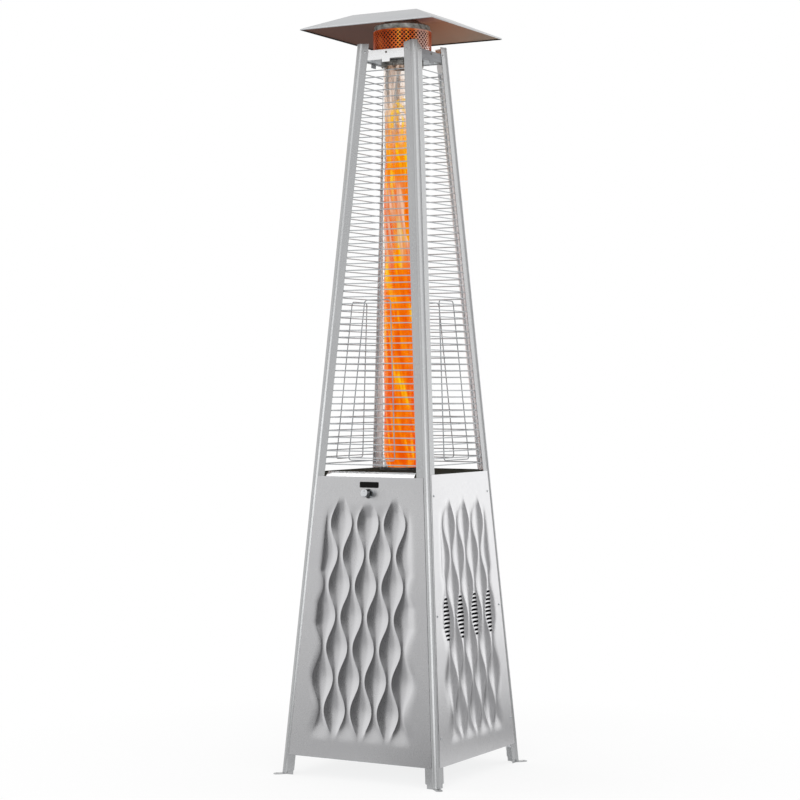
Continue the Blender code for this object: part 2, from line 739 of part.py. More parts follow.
def add_burner():
    """A round pan hangs under the deck and holds the burner, its pilot, its spark and its flame sensor."""
    top = DECK_CROWN - DECK_SHEET - GAP
    inner = PAN_RADIUS - PAN_SHEET
    low = PAN_FLOOR - PAN_SHEET
    outline = rod(PAN_RADIUS, low, top)[:3] + [(inner, top), (inner, PAN_FLOOR), (0, PAN_FLOOR)]
    pan = add_object("burner_pan", turned("burner_pan", outline), "dark_steel")
    hole = turned("pan_pipe_hole", rod(PAN_PIPE_HOLE, 0, PAN_RADIUS), SMALL_STEPS)
    pipe_z = pipe_point(wall_share()).z
    start = (0, -PAN_RADIUS / 2, pipe_z)
    combine(pan, helper(hole, Matrix.Translation(start) @ Matrix.Rotation(QUARTER, 4, "X")), "DIFFERENCE")

    foot = PAN_FLOOR + GAP
    neck_low = foot + BURNER_FOOT_SHEET
    cut = BURNER_HEAD - BURNER_CHAMFER
    outline = [(0, foot), (BURNER_FOOT, foot), (BURNER_FOOT, neck_low), (BURNER_NECK, neck_low)]
    outline += [(BURNER_NECK, BURNER_HEAD_LOW), (cut, BURNER_HEAD_LOW)]
    outline += [(BURNER_HEAD, BURNER_HEAD_LOW + BURNER_CHAMFER)]
    outline += [(BURNER_HEAD, BURNER_HEAD_TOP - BURNER_CHAMFER), (cut, BURNER_HEAD_TOP), (0, BURNER_HEAD_TOP)]
    add_object("burner_head", turned("burner_head", outline), "bright_steel")

    probes = (
        ("pilot_burner", PILOT_RADIUS, PILOT_RADIUS, PILOT_STANDS, "brass"),
        ("ignition_electrode", ELECTRODE_RADIUS, ELECTRODE_TIP, ELECTRODE_STANDS, "ceramic"),
        ("thermocouple", THERMOCOUPLE_RADIUS, THERMOCOUPLE_RADIUS, THERMOCOUPLE_STANDS, "brass"),
    )
    for index, (name, radius, tip, stands, finish) in enumerate(probes):
        top_z = DECK_CROWN + stands
        shoulder = top_z - (top_z - foot) / len(probes)
        outline = rod(PROBE_FOOT, foot, foot + PROBE_FOOT_HEIGHT)[:3]
        outline += [(radius, foot + PROBE_FOOT_HEIGHT), (radius, shoulder)]
        outline += [(tip, shoulder + tip), (tip, top_z), (0, top_z)]
        probe = add_object(name, turned(name, outline, SMALL_STEPS), finish)
        angle = QUARTER * (1 + index) + QUARTER / 2
        probe.location = (PROBE_CIRCLE * math.cos(angle), PROBE_CIRCLE * math.sin(angle), 0)


def add_tube():
    """The glass tube stands on the deck in a seat ring; a collar under the top plate holds its head."""
    inner = TUBE_RADIUS - TUBE_WALL
    tube = turned("glass_tube", pipe(TUBE_RADIUS, inner, TUBE_LOW, TUBE_TOP))
    add_object("glass_tube", tube, "glass")
    ring_inner = TUBE_RADIUS + TUBE_PLAY
    seat = pipe(ring_inner + SEAT_WIDTH, ring_inner, TUBE_LOW, TUBE_LOW + SEAT_HEIGHT)
    add_object("tube_seat_ring", turned("tube_seat_ring", seat), "dark_steel")
    collar_top = TOP_PLATE_LOW - GAP
    collar = pipe(ring_inner + COLLAR_WIDTH, ring_inner, collar_top - COLLAR_HEIGHT, collar_top)
    add_object("tube_collar", turned("tube_collar", collar), "steel")


def guard_side(bm, heights, sign):
    """One upright of a guard, with an open three-cornered socket at each rung. It gives the sockets."""
    bottom = heights[0] - RAIL_OVERHANG
    top = heights[-1] + RAIL_OVERHANG
    front_levels = [bottom]
    for z in heights:
        front_levels += [z - WIRE / 2, z + WIRE / 2]
    front_levels.append(top)
    back_levels = [bottom, *heights, top]
    knots = [0, *range(RAIL_KNOT_EVERY, len(heights), RAIL_KNOT_EVERY), len(heights)]
    knot_levels = [bottom] + [heights[knot] for knot in knots[1:-1]] + [top]
    lines = []
    outers = []
    for out, levels, per_rung in ((INSIDE_FACE, front_levels, 2), (INSIDE_FACE - WIRE, back_levels, 1)):
        line = []
        for z in levels:
            line.append(bm.verts.new(on_face(sign * (half_at(z) - RAIL_INSET - RAIL_WIDTH), z, out)))
        outer = [bm.verts.new(on_face(sign * (half_at(z) - RAIL_INSET), z, out)) for z in knot_levels]
        for index, (low, high) in enumerate(zip(outer, outer[1:])):
            first = per_rung * knots[index] + 1 if index else 0
            last = per_rung * knots[index + 1] + 1
            bm.faces.new([low, *line[first : last + 1], high])
        lines.append(line)
        outers.append(outer)
    front, back = lines
    for low in range(len(knots) - 1):
        bm.faces.new((outers[0][low], outers[0][low + 1], outers[1][low + 1], outers[1][low]))
    for end in (0, -1):
        bm.faces.new((front[end], outers[0][end], outers[1][end], back[end]))
    for rung in range(len(heights) + 1):
        low = 2 * rung
        bm.faces.new((front[low], front[low + 1], back[rung + 1], back[rung]))
    return [(front[2 * i + 1], front[2 * i + 2], back[i + 1]) for i in range(len(heights))]


def guard_mesh():
    """A ladder of thin rungs between two uprights, welded into one piece."""
    heights = [RUNG_LOWEST + RUNG_PITCH * i for i in range(RUNG_COUNT)]
    bm = bmesh.new()
    left = guard_side(bm, heights, -1)
    right = guard_side(bm, heights, 1)
    for start, end in zip(left, right):
        for i in range(3):
            j = (i + 1) % 3
            bm.faces.new((start[i], start[j], end[j], end[i]))
    return mesh_of("guard", bm)


def loop_points():
    """The stiffener's route: a tall loop that narrows upwards, with round corners."""
    corners = [(LOOP_LOW_HALF, LOOP_LOW), (LOOP_TOP_HALF, LOOP_TOP)]
    corners += [(-x, z) for x, z in reversed(corners)]
    out = INSIDE_FACE - WIRE - GAP - WIRE / 2
    points = []
    for index, corner in enumerate(corners):
        here = Vector(corner)
        before = (Vector(corners[index - 1]) - here).normalized() * LOOP_CORNER
        after = (Vector(corners[(index + 1) % 4]) - here).normalized() * LOOP_CORNER
        for step in range(LOOP_CORNER_STEPS + 1):
            share = step / LOOP_CORNER_STEPS
            spot = here + before * (1 - share) ** 2 + after * share**2
            points.append(on_face(spot.x, spot.y, out))
    return points


def wire_curve(name, points, radius, closed, sides):
    """A round bar along a route, as a curve with a bevel."""
    data = bpy.data.curves.new(name, "CURVE")
    data.dimensions = "3D"
    data.bevel_depth = radius
    data.bevel_resolution = sides
    data.use_fill_caps = not closed
    spline = data.splines.new("POLY")
    spline.points.add(len(points) - 1)
    for spot, place in zip(spline.points, points):
        spot.co = (*place, 1)
    spline.use_cyclic_u = closed
    return data


def add_guards():
    """The guards stand behind the posts' flanges, each with a stiffener welded to its back."""
    four_sides("guard", guard_mesh(), "wire")
    four_sides("stiffener", wire_curve("stiffener", loop_points(), WIRE / 2, True, 0), "wire")


def add_top_bars():
    """Angle bars behind the flanges tie the posts; their shelves carry the top plate."""
    back = INSIDE_FACE - BAR_SHEET
    section = [(BAR_LOW, INSIDE_FACE), (BAR_TOP, INSIDE_FACE), (BAR_TOP, back), (SHELF_TOP, back)]
    section += [(SHELF_TOP, INSIDE_FACE - BAR_SHELF), (BAR_LOW, INSIDE_FACE - BAR_SHELF)]
    rings = []
    for sign in (-1, 1):
        rings.append([on_face(sign * (half_at(z) - BAR_INSET), z, out) for z, out in section])
    data = loft("top_bar", rings)
    tab_half = BAR_TAB_WIDTH / 2
    tab_section = [(BAR_LOW - BAR_TAB_DROP, INSIDE_FACE), (SHELF_TOP, INSIDE_FACE)]
    tab_section += [(SHELF_TOP, back), (BAR_LOW - BAR_TAB_DROP, back)]
    tab = loft("bar_tab", [[on_face(x, z, out) for z, out in tab_section] for x in (-tab_half, tab_half)])
    for turn, bar in enumerate(four_sides("top_bar", data, "bright_steel")):
        combine(bar, helper(tab, Matrix.Rotation(turn * QUARTER, 4, "Z")), "UNION")

    half = half_at(TOP_PLATE_LOW) + back - GAP
    outline = rounded_square(half, TOP_PLATE_CORNER, DECK_CORNER_STEPS)
    hole_radius = TUBE_RADIUS + TOP_PLATE_PLAY
    hole = rounded_square(hole_radius, hole_radius, DECK_CORNER_STEPS)
    route = [(hole, TOP_PLATE_LOW), (outline, TOP_PLATE_LOW), (outline, TOP_PLATE_TOP)]
    route += [(hole, TOP_PLATE_TOP), (hole, TOP_PLATE_LOW)]
    rings = [[(x, y, z) for x, y in ring] for ring, z in route]
    data = loft("top_plate", rings, caps=False)
    weld = bmesh.new()
    weld.from_mesh(data)
    bmesh.ops.remove_doubles(weld, verts=weld.verts, dist=WELD)
    add_object("top_plate", mesh_of("top_plate", weld), "steel")


def add_emitter():
    """A perforated screen that glows, with a chamfered cap on it."""
    inner = SCREEN_RADIUS - SCREEN_SHEET
    top = SCREEN_LOW + SCREEN_HEIGHT
    screen = turned("emitter_screen", pipe(SCREEN_RADIUS, inner, SCREEN_LOW, top))
    add_object("emitter_screen", screen, "emitter")
    band_top = CAP_LOW + CAP_BAND_HEIGHT
    rim = CAP_LOW + CAP_SHEET
    outline = [(0, CAP_TOP), (CAP_TOP_RADIUS, CAP_TOP), (CAP_BAND_RADIUS, band_top)]
    outline += [(CAP_BAND_RADIUS, rim), (SCREEN_RADIUS, rim), (SCREEN_RADIUS, CAP_LOW)]
    outline += [(CAP_BAND_RADIUS - CAP_SHEET, CAP_LOW), (CAP_BAND_RADIUS - CAP_SHEET, band_top - CAP_SHEET)]
    outline += [(CAP_TOP_RADIUS, CAP_TOP - CAP_SHEET), (0, CAP_TOP - CAP_SHEET)]
    add_object("emitter_cap", turned("emitter_cap", outline), "chrome")


def stud_places():
    places = []
    for index in range(STUD_COUNT):
        angle = 4 * QUARTER * index / STUD_COUNT + QUARTER
        places.append(Vector((STUD_CIRCLE * math.cos(angle), STUD_CIRCLE * math.sin(angle), 0)))
    return places


def add_hood():
    """A shallow square reflector on three studs that stand on the emitter's cap."""
    levels = [(HOOD_TOP_HALF, HOOD_TOP), (HOOD_RIM_HALF, HOOD_TOP - HOOD_DROP)]
    levels.append((HOOD_RIM_HALF, HOOD_TOP - HOOD_DROP - HOOD_LIP))
    bm = bmesh.new()
    rings = []
    for half, z in levels:
        rings.append([bm.verts.new((x * half, y * half, z)) for x, y in ((-1, -1), (1, -1), (1, 1), (-1, 1))])
    bm.faces.new(rings[0])
    for upper, lower in zip(rings, rings[1:]):
        for i in range(4):
            j = (i + 1) % 4
            bm.faces.new((lower[i], lower[j], upper[j], upper[i]))
    data = bpy.data.meshes.new("hood")
    bm.to_mesh(data)
    bm.free()
    hood = add_object("hood", data, "steel")
    thicken(hood, HOOD_SHEET)

    underside = HOOD_TOP - HOOD_SHEET - GAP
    foot = CAP_TOP + GAP
    stud_top = HOOD_TOP + NUT_HEIGHT * NUT_DOME_SHARE
    outline = rod(STUD_SPACER_RADIUS, foot, underside)[:3]
    outline += [(STUD_RADIUS, underside), (STUD_RADIUS, stud_top), (0, stud_top)]
    stud = turned("hood_stud", outline, SMALL_STEPS)
    hole_radius = STUD_RADIUS + STUD_HOLE_PLAY
    hole = turned("stud_hole", rod(hole_radius, underside - OVERRUN, HOOD_TOP + OVERRUN), SMALL_STEPS)
    low = HOOD_TOP + GAP
    bore_top = stud_top + GAP
    shoulder = low + NUT_HEIGHT * NUT_DOME_SHARE
    outline = [(0, bore_top), (hole_radius, bore_top), (hole_radius, low), (NUT_RADIUS, low)]
    outline += [(NUT_RADIUS, shoulder), (hole_radius, low + NUT_HEIGHT), (0, low + NUT_HEIGHT)]
    nut = turned("hood_nut", outline, SMALL_STEPS)
    for index, place in enumerate(stud_places()):
        number = index + 1
        add_object(f"hood_stud_{number}", stud, "steel").location = place
        add_object(f"hood_nut_{number}", nut, "chrome").location = place
        combine(hood, helper(hole, Matrix.Translation(place)), "DIFFERENCE")


def pipe_start():
    return knob_frame() @ Vector((0, 0, VALVE_BACK - GAP))


def pipe_end():
    height = (PAN_FLOOR + BURNER_HEAD_LOW) / 2
    return Vector((0, -BURNER_NECK - GAP, height))


def pipe_point(share):
    """The pipe's route from the valve's back to the burner's neck: level, up, level."""
    start, end = pipe_start(), pipe_end()
    run = end.y - start.y
    ease = share * share * (3 - 2 * share)
    dip = LEAN * run * share * (1 - share) ** 2
    return Vector((0, start.y + run * share, start.z + (end.z - start.z) * ease - dip))


def wall_share():
    """How far along its route the pipe goes through the pan's wall."""
    start, end = pipe_start(), pipe_end()
    return (-PAN_RADIUS - start.y) / (end.y - start.y)


def add_in_knob_frame(name, data, finish, parent=None):
    made = add_object(name, data, finish, parent)
    if parent is None:
        made.matrix_world = knob_frame()
    return made


def add_gas_control(push, turn):
    """The valve hangs on a bracket behind the front panel, and its knob stands out through the panel."""
    body = [(-VALVE_HALF_WIDTH, -VALVE_HALF_HEIGHT), (VALVE_HALF_WIDTH, -VALVE_HALF_HEIGHT)]
    body += [(VALVE_HALF_WIDTH, VALVE_HALF_HEIGHT), (-VALVE_HALF_WIDTH, VALVE_HALF_HEIGHT)]
    valve = add_in_knob_frame("gas_valve", extruded("gas_valve", body, VALVE_BACK, VALVE_FACE), "brass")
    nose = rod(VALVE_NOSE_RADIUS, VALVE_FACE - OVERRUN, VALVE_NOSE_FRONT)
    combine(valve, helper(turned("valve_nose", nose), knob_frame()), "UNION")
    bore = rod(SLEEVE_RADIUS + GAP, VALVE_BORE_BACK, OVERRUN)
    combine(valve, helper(turned("valve_bore", bore), knob_frame()), "DIFFERENCE")

    inner = STEM_RADIUS + STEM_PLAY
    sleeve = pipe(SLEEVE_RADIUS, inner, SLEEVE_BACK, SLEEVE_FRONT)
    add_in_knob_frame("stem_sleeve", turned("stem_sleeve", sleeve, SMALL_STEPS), "steel", push)
    bore_end = KNOB_BACK + KNOB_BORE_DEPTH
    stem = rod(STEM_RADIUS, STEM_BACK, bore_end - GAP)
    add_in_knob_frame("valve_stem", turned("valve_stem", stem, SMALL_STEPS), "brass", turn)
    front = KNOB_BACK + KNOB_LENGTH
    waist = KNOB_BACK + KNOB_LENGTH * KNOB_SHARE_OF_WAIST
    outline = [(0, bore_end), (inner, bore_end), (inner, KNOB_BACK), (KNOB_WAIST, KNOB_BACK)]
    outline += [(KNOB_WAIST, waist), (KNOB_RADIUS, waist + KNOB_EDGE), (KNOB_RADIUS, front - KNOB_EDGE)]
    outline += [(KNOB_RADIUS - KNOB_EDGE, front), (0, front)]
    add_in_knob_frame("control_knob", turned("control_knob", outline), "chrome", turn)

    plate_top = DECK_EDGE - GAP
    face = BRACKET_FACE
    back = face - BRACKET_SHEET
    shelf_low = plate_top - BRACKET_SHEET
    shelf_end = face - BRACKET_SHELF
    section = [(BRACKET_LOW, face), (plate_top, face), (plate_top, shelf_end), (shelf_low, shelf_end)]
    section += [(shelf_low, back), (BRACKET_LOW, back)]
    rings = [[on_face(x, z, out) for z, out in section] for x in (-BRACKET_HALF_WIDTH, BRACKET_HALF_WIDTH)]
    bracket = add_object("valve_bracket", loft("valve_bracket", rings), "steel")
    hole = rod(VALVE_NOSE_RADIUS + GAP, VALVE_FACE, OVERRUN)
    combine(bracket, helper(turned("bracket_hole", hole), knob_frame()), "DIFFERENCE")

    top = -VALVE_HALF_HEIGHT - GAP
    nut_low = top - INLET_NUT_HEIGHT
    low = top - INLET_LENGTH
    outline = rod(INLET_RADIUS, low, nut_low)[:3]
    outline += [(INLET_NUT_RADIUS, nut_low), (INLET_NUT_RADIUS, top), (0, top)]
    data = turned("gas_inlet", outline, BORE_STEPS)
    middle = (VALVE_BACK + VALVE_FACE) / 2
    data.transform(Matrix.Translation((0, 0, middle)) @ Matrix.Rotation(-QUARTER, 4, "X"))
    add_in_knob_frame("gas_inlet", data, "brass")
    data = turned("piezo_igniter", rod(PIEZO_RADIUS, PIEZO_BACK, PIEZO_FRONT), SMALL_STEPS)
    data.transform(Matrix.Translation((VALVE_HALF_WIDTH + GAP + PIEZO_RADIUS, 0, 0)))
    add_in_knob_frame("piezo_igniter", data, "black_paint")
    route = [pipe_point(i / PIPE_STEPS) for i in range(PIPE_STEPS + 1)]
    add_object("gas_pipe", wire_curve("gas_pipe", route, PIPE_RADIUS, False, 1), "brass")

    low = shelf_low - GAP
    tilt_body = rod(TILT_RADIUS, low - TILT_HEIGHT, low)
    tilt = add_object("tilt_switch", turned("tilt_switch", tilt_body, SMALL_STEPS), "black_paint")
    tilt.location = (-TILT_X, on_face(0, low, back - GAP - TILT_RADIUS).y, 0)


def add_magnets():
    """Two flat magnets on the deck's skirt hold the front panel shut."""
    low = DECK_EDGE - DECK_SKIRT + (DECK_SKIRT - MAGNET_HEIGHT) / 2
    back, front = INSIDE_FACE + GAP, PANEL_BACK - GAP
    top = low + MAGNET_HEIGHT
    for name, side in (("magnet_left", -1), ("magnet_right", 1)):
        middle = side * MAGNET_SPACING / 2
        rings = []
        for x in (middle - MAGNET_WIDTH / 2, middle + MAGNET_WIDTH / 2):
            corners = ((low, back), (low, front), (top, front), (top, back))
            rings.append([on_face(x, z, out) for z, out in corners])
        add_object(name, loft(name, rings), "dark_steel")


def empty_at(name, matrix, parent=None):
    made = bpy.data.objects.new(name, None)
    bpy.context.scene.collection.objects.link(made)
    made.parent = parent
    made.matrix_world = matrix
    return made


def build():
    clear_scene()
    door_pivot = empty_at("front_panel_pivot", Matrix.Translation(on_face(0, PANEL_LOW, PANEL_BACK)))
    knob_push = empty_at("knob_push_axis", knob_frame())
    knob_turn = empty_at("knob_turn_axis", knob_frame())
    bpy.context.view_layer.update()
    add_posts()
    add_feet()
    add_panels()
    add_door(door_pivot)
    add_label(door_pivot)
    add_tray()
    add_deck()
    add_burner()
    add_tube()
    add_guards()
    add_top_bars()
    add_emitter()
    add_hood()
    add_gas_control(knob_push, knob_turn)
    add_magnets()


build()
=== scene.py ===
import json
import math

import bmesh
import bpy
from mathutils import Matrix, Vector, noise

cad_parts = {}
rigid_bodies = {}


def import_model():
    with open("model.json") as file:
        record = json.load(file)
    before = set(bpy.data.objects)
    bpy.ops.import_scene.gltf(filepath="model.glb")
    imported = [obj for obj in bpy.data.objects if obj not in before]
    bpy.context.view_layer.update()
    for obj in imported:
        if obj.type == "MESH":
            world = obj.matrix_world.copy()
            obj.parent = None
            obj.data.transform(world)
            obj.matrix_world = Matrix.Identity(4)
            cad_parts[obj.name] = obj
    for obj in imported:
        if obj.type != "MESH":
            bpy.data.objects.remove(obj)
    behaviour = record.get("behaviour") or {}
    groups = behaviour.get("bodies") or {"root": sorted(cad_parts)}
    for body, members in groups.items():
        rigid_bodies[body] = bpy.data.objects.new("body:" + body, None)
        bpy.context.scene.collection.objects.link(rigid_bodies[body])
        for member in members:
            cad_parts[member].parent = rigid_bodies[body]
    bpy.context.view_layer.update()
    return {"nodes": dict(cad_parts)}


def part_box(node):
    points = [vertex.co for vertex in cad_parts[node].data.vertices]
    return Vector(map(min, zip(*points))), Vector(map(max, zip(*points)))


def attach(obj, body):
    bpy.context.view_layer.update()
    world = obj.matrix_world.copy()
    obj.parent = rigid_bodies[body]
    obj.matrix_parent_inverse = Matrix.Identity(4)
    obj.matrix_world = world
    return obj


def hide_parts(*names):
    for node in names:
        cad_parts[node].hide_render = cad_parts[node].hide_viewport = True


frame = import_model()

# Sizes of the tower, in metres, as the part's source has them.
BASE_HALF = 0.2485
TOP_HALF = 0.0884
POST_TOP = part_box("post_front_right")[1].z
LEAN = (BASE_HALF - TOP_HALF) / POST_TOP
LEAN_ANGLE = math.atan(LEAN)
QUARTER = math.pi / 2
SIDES = {"front": 0, "right": 1, "back": 2, "left": 3}
CORNERS = {"front_right": 0, "back_right": 1, "back_left": 2, "front_left": 3}

NOSE_RADIUS = 0.0115
POST_SHEET = 0.0015
FLANGE_FACE = 0.0085
FLANGE_REACH = 0.030
FLANGE_BACK = FLANGE_FACE - POST_SHEET
FLANGE_CUT_NEAR = 0.008
FLANGE_CUT_FAR = 0.013
# How far a post's top slopes down to the ends of its two flanges, and where the slopes begin.
TOP_TRIM = (0.0022, 0.0022)
FRONT_RIGHT_TRIM = (0.006, 0.021)
TRIM_START = 0.004
FOOT_SHEET = 0.0028
NOSE_STEPS = 20

PANEL_FRONT = 0.0098
PANEL_SHEET = 0.001
PANEL_EDGE = 0.0083
PANEL_LOW = 0.058
PANEL_TOP = 0.876
DOOR_TOP = 0.867
DOOR_LIP_TOP = 0.881
DOOR_LIP_DEPTH = 0.012
DOOR_LIP_SIDE = 0.0303
WAVE_PITCH = 0.0442
WAVE_SWAY = 0.0134
WAVE_LENGTH = 0.179
WAVE_DEPTH = 0.0145
WAVE_LOW = 0.106
WAVE_TOP = 0.815
WAVE_START = WAVE_LOW + WAVE_LENGTH / 4
WAVE_FADE = 0.050
# Every second valley is wide at its ends: it ends lower and runs out more slowly. The others come to a point.
WIDE_TOP = 0.792
WIDE_FADE = 0.075
# Flanks start straight at the crests and meet in a round valley floor, over this share of the half width.
VALLEY_ROUND = 0.85
WAVE_MARGIN = 0.052
WAVE_RIDGES = 8
# The middle valley ends this much lower, under the knob.
WAVE_DIP = 0.017
# The side panels are pressed less deep, as their gentler shading shows.
SIDE_PRESS = 0.9
# Where a row's points lie between two crests, and how high a row is.
ACROSS_VALLEY = (0, 0.06, 0.14, 0.23, 0.32, 0.41, 0.50, 0.59, 0.68, 0.77, 0.86, 0.94)
ROW = 0.004
# About half of a step across a valley.
HALF_CELL = 0.05

VENT_CELLS = (0, 2, 4, 6)
VENT_Z = 0.463
VENT_COUNT = 11
VENT_PITCH = 0.0115
VENT_HEIGHT = 0.0066
VENT_LIP = 0.0008
# The part of a valley's width that its slots take.
VENT_SHARES = (0.20, 0.75)

KNOB_Z = 0.819
KNOB_HOLE = 0.0138
LABEL_Z = 0.8445

WIRE = 0.0032
INSIDE_FACE = 0.0067
RUNG_LOW = 0.9015
RUNG_PITCH = 0.0195
RUNG_COUNT = 60
RAIL_INSET = 0.0225
RAIL_WIRE = 0.0048
RAIL_PAST_RUNGS = 0.007

PANEL_SCREWS_Z = (0.137, 0.477, 0.816)
POST_SCREWS_Z = 2.108
BAR_SCREW_Z = 2.1045

TUBE_RADIUS = 0.0572
# The tube's wall is 2.5 mm; it is drawn thinner, so that the flame fills the tube.
TUBE_WALL = 0.0014
SCREEN_RADIUS = 0.086
# The real holes have a pitch of about 5 mm; they are drawn coarser, because finer ones don't show.
SCREEN_COLUMNS = 44
SCREEN_TOP = 2.1748
HOOD_DROP = 0.0485
HOOD_HEM = 0.0035
DECK_HOLE = 0.052
DECK_SKIRT = 0.034
# Points closer than this are one.
MERGE = 1e-6


# Where things are on the leaning tower.

def half_at(z):
    """Half the distance between two posts' nose centres at a height."""
    return BASE_HALF - LEAN * z


def on_face(x, z, out):
    """A point on the front side, out from the plane of the nose centres."""
    return Vector((x, -half_at(z) - out, z))


def at_corner(across, along, z):
    """A point at the front right post, as offsets out from its nose centre."""
    return Vector((half_at(z) + across, -half_at(z) - along, z))


def face_frame(x, z, out):
    """Z points out of the front side at this place and Y up along its lean."""
    return Matrix.Translation(on_face(x, z, out)) @ Matrix.Rotation(QUARTER - LEAN_ANGLE, 4, "X")


def quarter_turn(turns):
    return Matrix.Rotation(turns * QUARTER, 4, "Z")


# Finishes.
MATT = {"Specular IOR Level": 0.0}


def colour(hex_code, alpha=1.0):
    """An sRGB hex value as linear light."""
    levels = [int(hex_code[i:i + 2], 16) / 255 for i in (1, 3, 5)]
    return tuple(v / 12.92 if v <= 0.04045 else ((v + 0.055) / 1.055) ** 2.4 for v in levels) + (alpha,)


def add(tree, kind, sets=None, links=None):
    """Adds a node; sets gives its properties, ramp stops and unlinked sockets, links its linked sockets."""
    made = tree.nodes.new("ShaderNode" + kind)
    for key, value in (sets or {}).items():
        if key == "stops":
            made_stops = made.color_ramp.elements
            while len(made_stops) < len(value):
                made_stops.new(1.0)
            for element, (place, tone) in zip(made_stops, value):
                element.position, element.color = place, tone if isinstance(tone, tuple) else colour(tone)
        elif isinstance(key, int) or key in made.inputs:
            made.inputs[key].default_value = value
        else:
            setattr(made, key, value)
    for key, (source, socket) in (links or {}).items():
        tree.links.new(source.outputs[socket], made.inputs[key])
    return made


def begin(name, sets):
    """A material with one Principled shader, its node tree and its object coordinates in metres."""
    finish = bpy.data.materials.new(name)
    finish.use_nodes = True
    tree = finish.node_tree
    shader = tree.nodes["Principled BSDF"]
    for key, value in sets.items():
        shader.inputs[key].default_value = value
    return finish, tree, shader, add(tree, "TexCoord")


def brushed_steel(name, base, worn, along, roughness, cloud_mm=142.86, metallic=1.0, relief=0.12):
    """Stainless sheet with a mill grain: hairlines along one axis give streaked, softened reflections."""
    finish, tree, shader, place = begin(name, {"Metallic": metallic})
    # Hairlines are 0.5 mm wide here, coarser than the real 0.1 mm, because finer ones don't show.
    width_mm, length_mm = 0.5, 71.43
    stretch = [1000 / width_mm] * 3
    stretch["xyz".index(along)] = 1000 / length_mm
    lines = add(tree, "Mapping", {"Scale": stretch}, {"Vector": (place, "Object")})
    grain = add(tree, "TexNoise", {"Scale": 1.0, "Detail": 3.0}, {"Vector": (lines, "Vector")})
    # The clouds are where rolling and handling left the sheet a little duller.
    clouds = add(tree, "TexNoise", {"Scale": 1000 / cloud_mm, "Detail": 4.0}, {"Vector": (place, "Object")})
    mixed = add(tree, "Math", {"operation": "MULTIPLY_ADD", 1: 0.35}, {0: (clouds, "Fac"), 2: (grain, "Fac")})
    tone = add(tree, "ValToRGB", {"stops": ((0.45, worn), (0.85, base))}, {"Fac": (mixed, "Value")})
    tree.links.new(tone.outputs["Color"], shader.inputs["Base Color"])
    gloss = {"From Min": 0.4, "From Max": 0.9, "To Min": roughness + 0.06, "To Max": roughness - 0.04}
    dull = add(tree, "MapRange", gloss, {"Value": (mixed, "Value")})
    tree.links.new(dull.outputs["Result"], shader.inputs["Roughness"])
    bump = add(tree, "Bump", {"Strength": relief, "Distance": 0.0002}, {"Height": (grain, "Fac")})
    tree.links.new(bump.outputs["Normal"], shader.inputs["Normal"])
    return finish


def plain_finish(name, base, shade, roughness, grain_mm, depth_mm=0.05, metallic=1.0, extra=None):
    """A finish whose colour and gloss drift between two tones, in grains of a real size and wide clouds."""
    finish, tree, shader, place = begin(name, {"Metallic": metallic, **(extra or {})})
    grains = {"Scale": 1000 / grain_mm, "Detail": 4.0, "Roughness": 0.6}
    specks = add(tree, "TexNoise", grains, {"Vector": (place, "Object")})
    clouds = add(tree, "TexNoise", {"Scale": 40 / grain_mm, "Detail": 3.0}, {"Vector": (place, "Object")})
    both = add(tree, "Math", {"operation": "MULTIPLY_ADD", 1: 0.6}, {0: (clouds, "Fac"), 2: (specks, "Fac")})
    tone = add(tree, "ValToRGB", {"stops": ((0.6, shade), (1.0, base))}, {"Fac": (both, "Value")})
    tree.links.new(tone.outputs["Color"], shader.inputs["Base Color"])
    gloss = {"From Min": 0.5, "From Max": 1.1, "To Min": roughness * 1.25, "To Max": roughness * 0.85}
    dull = add(tree, "MapRange", gloss, {"Value": (both, "Value")})
    tree.links.new(dull.outputs["Result"], shader.inputs["Roughness"])
    bump = add(tree, "Bump", {"Strength": 0.25, "Distance": depth_mm / 1000}, {"Height": (specks, "Fac")})
    tree.links.new(bump.outputs["Normal"], shader.inputs["Normal"])
    return finish


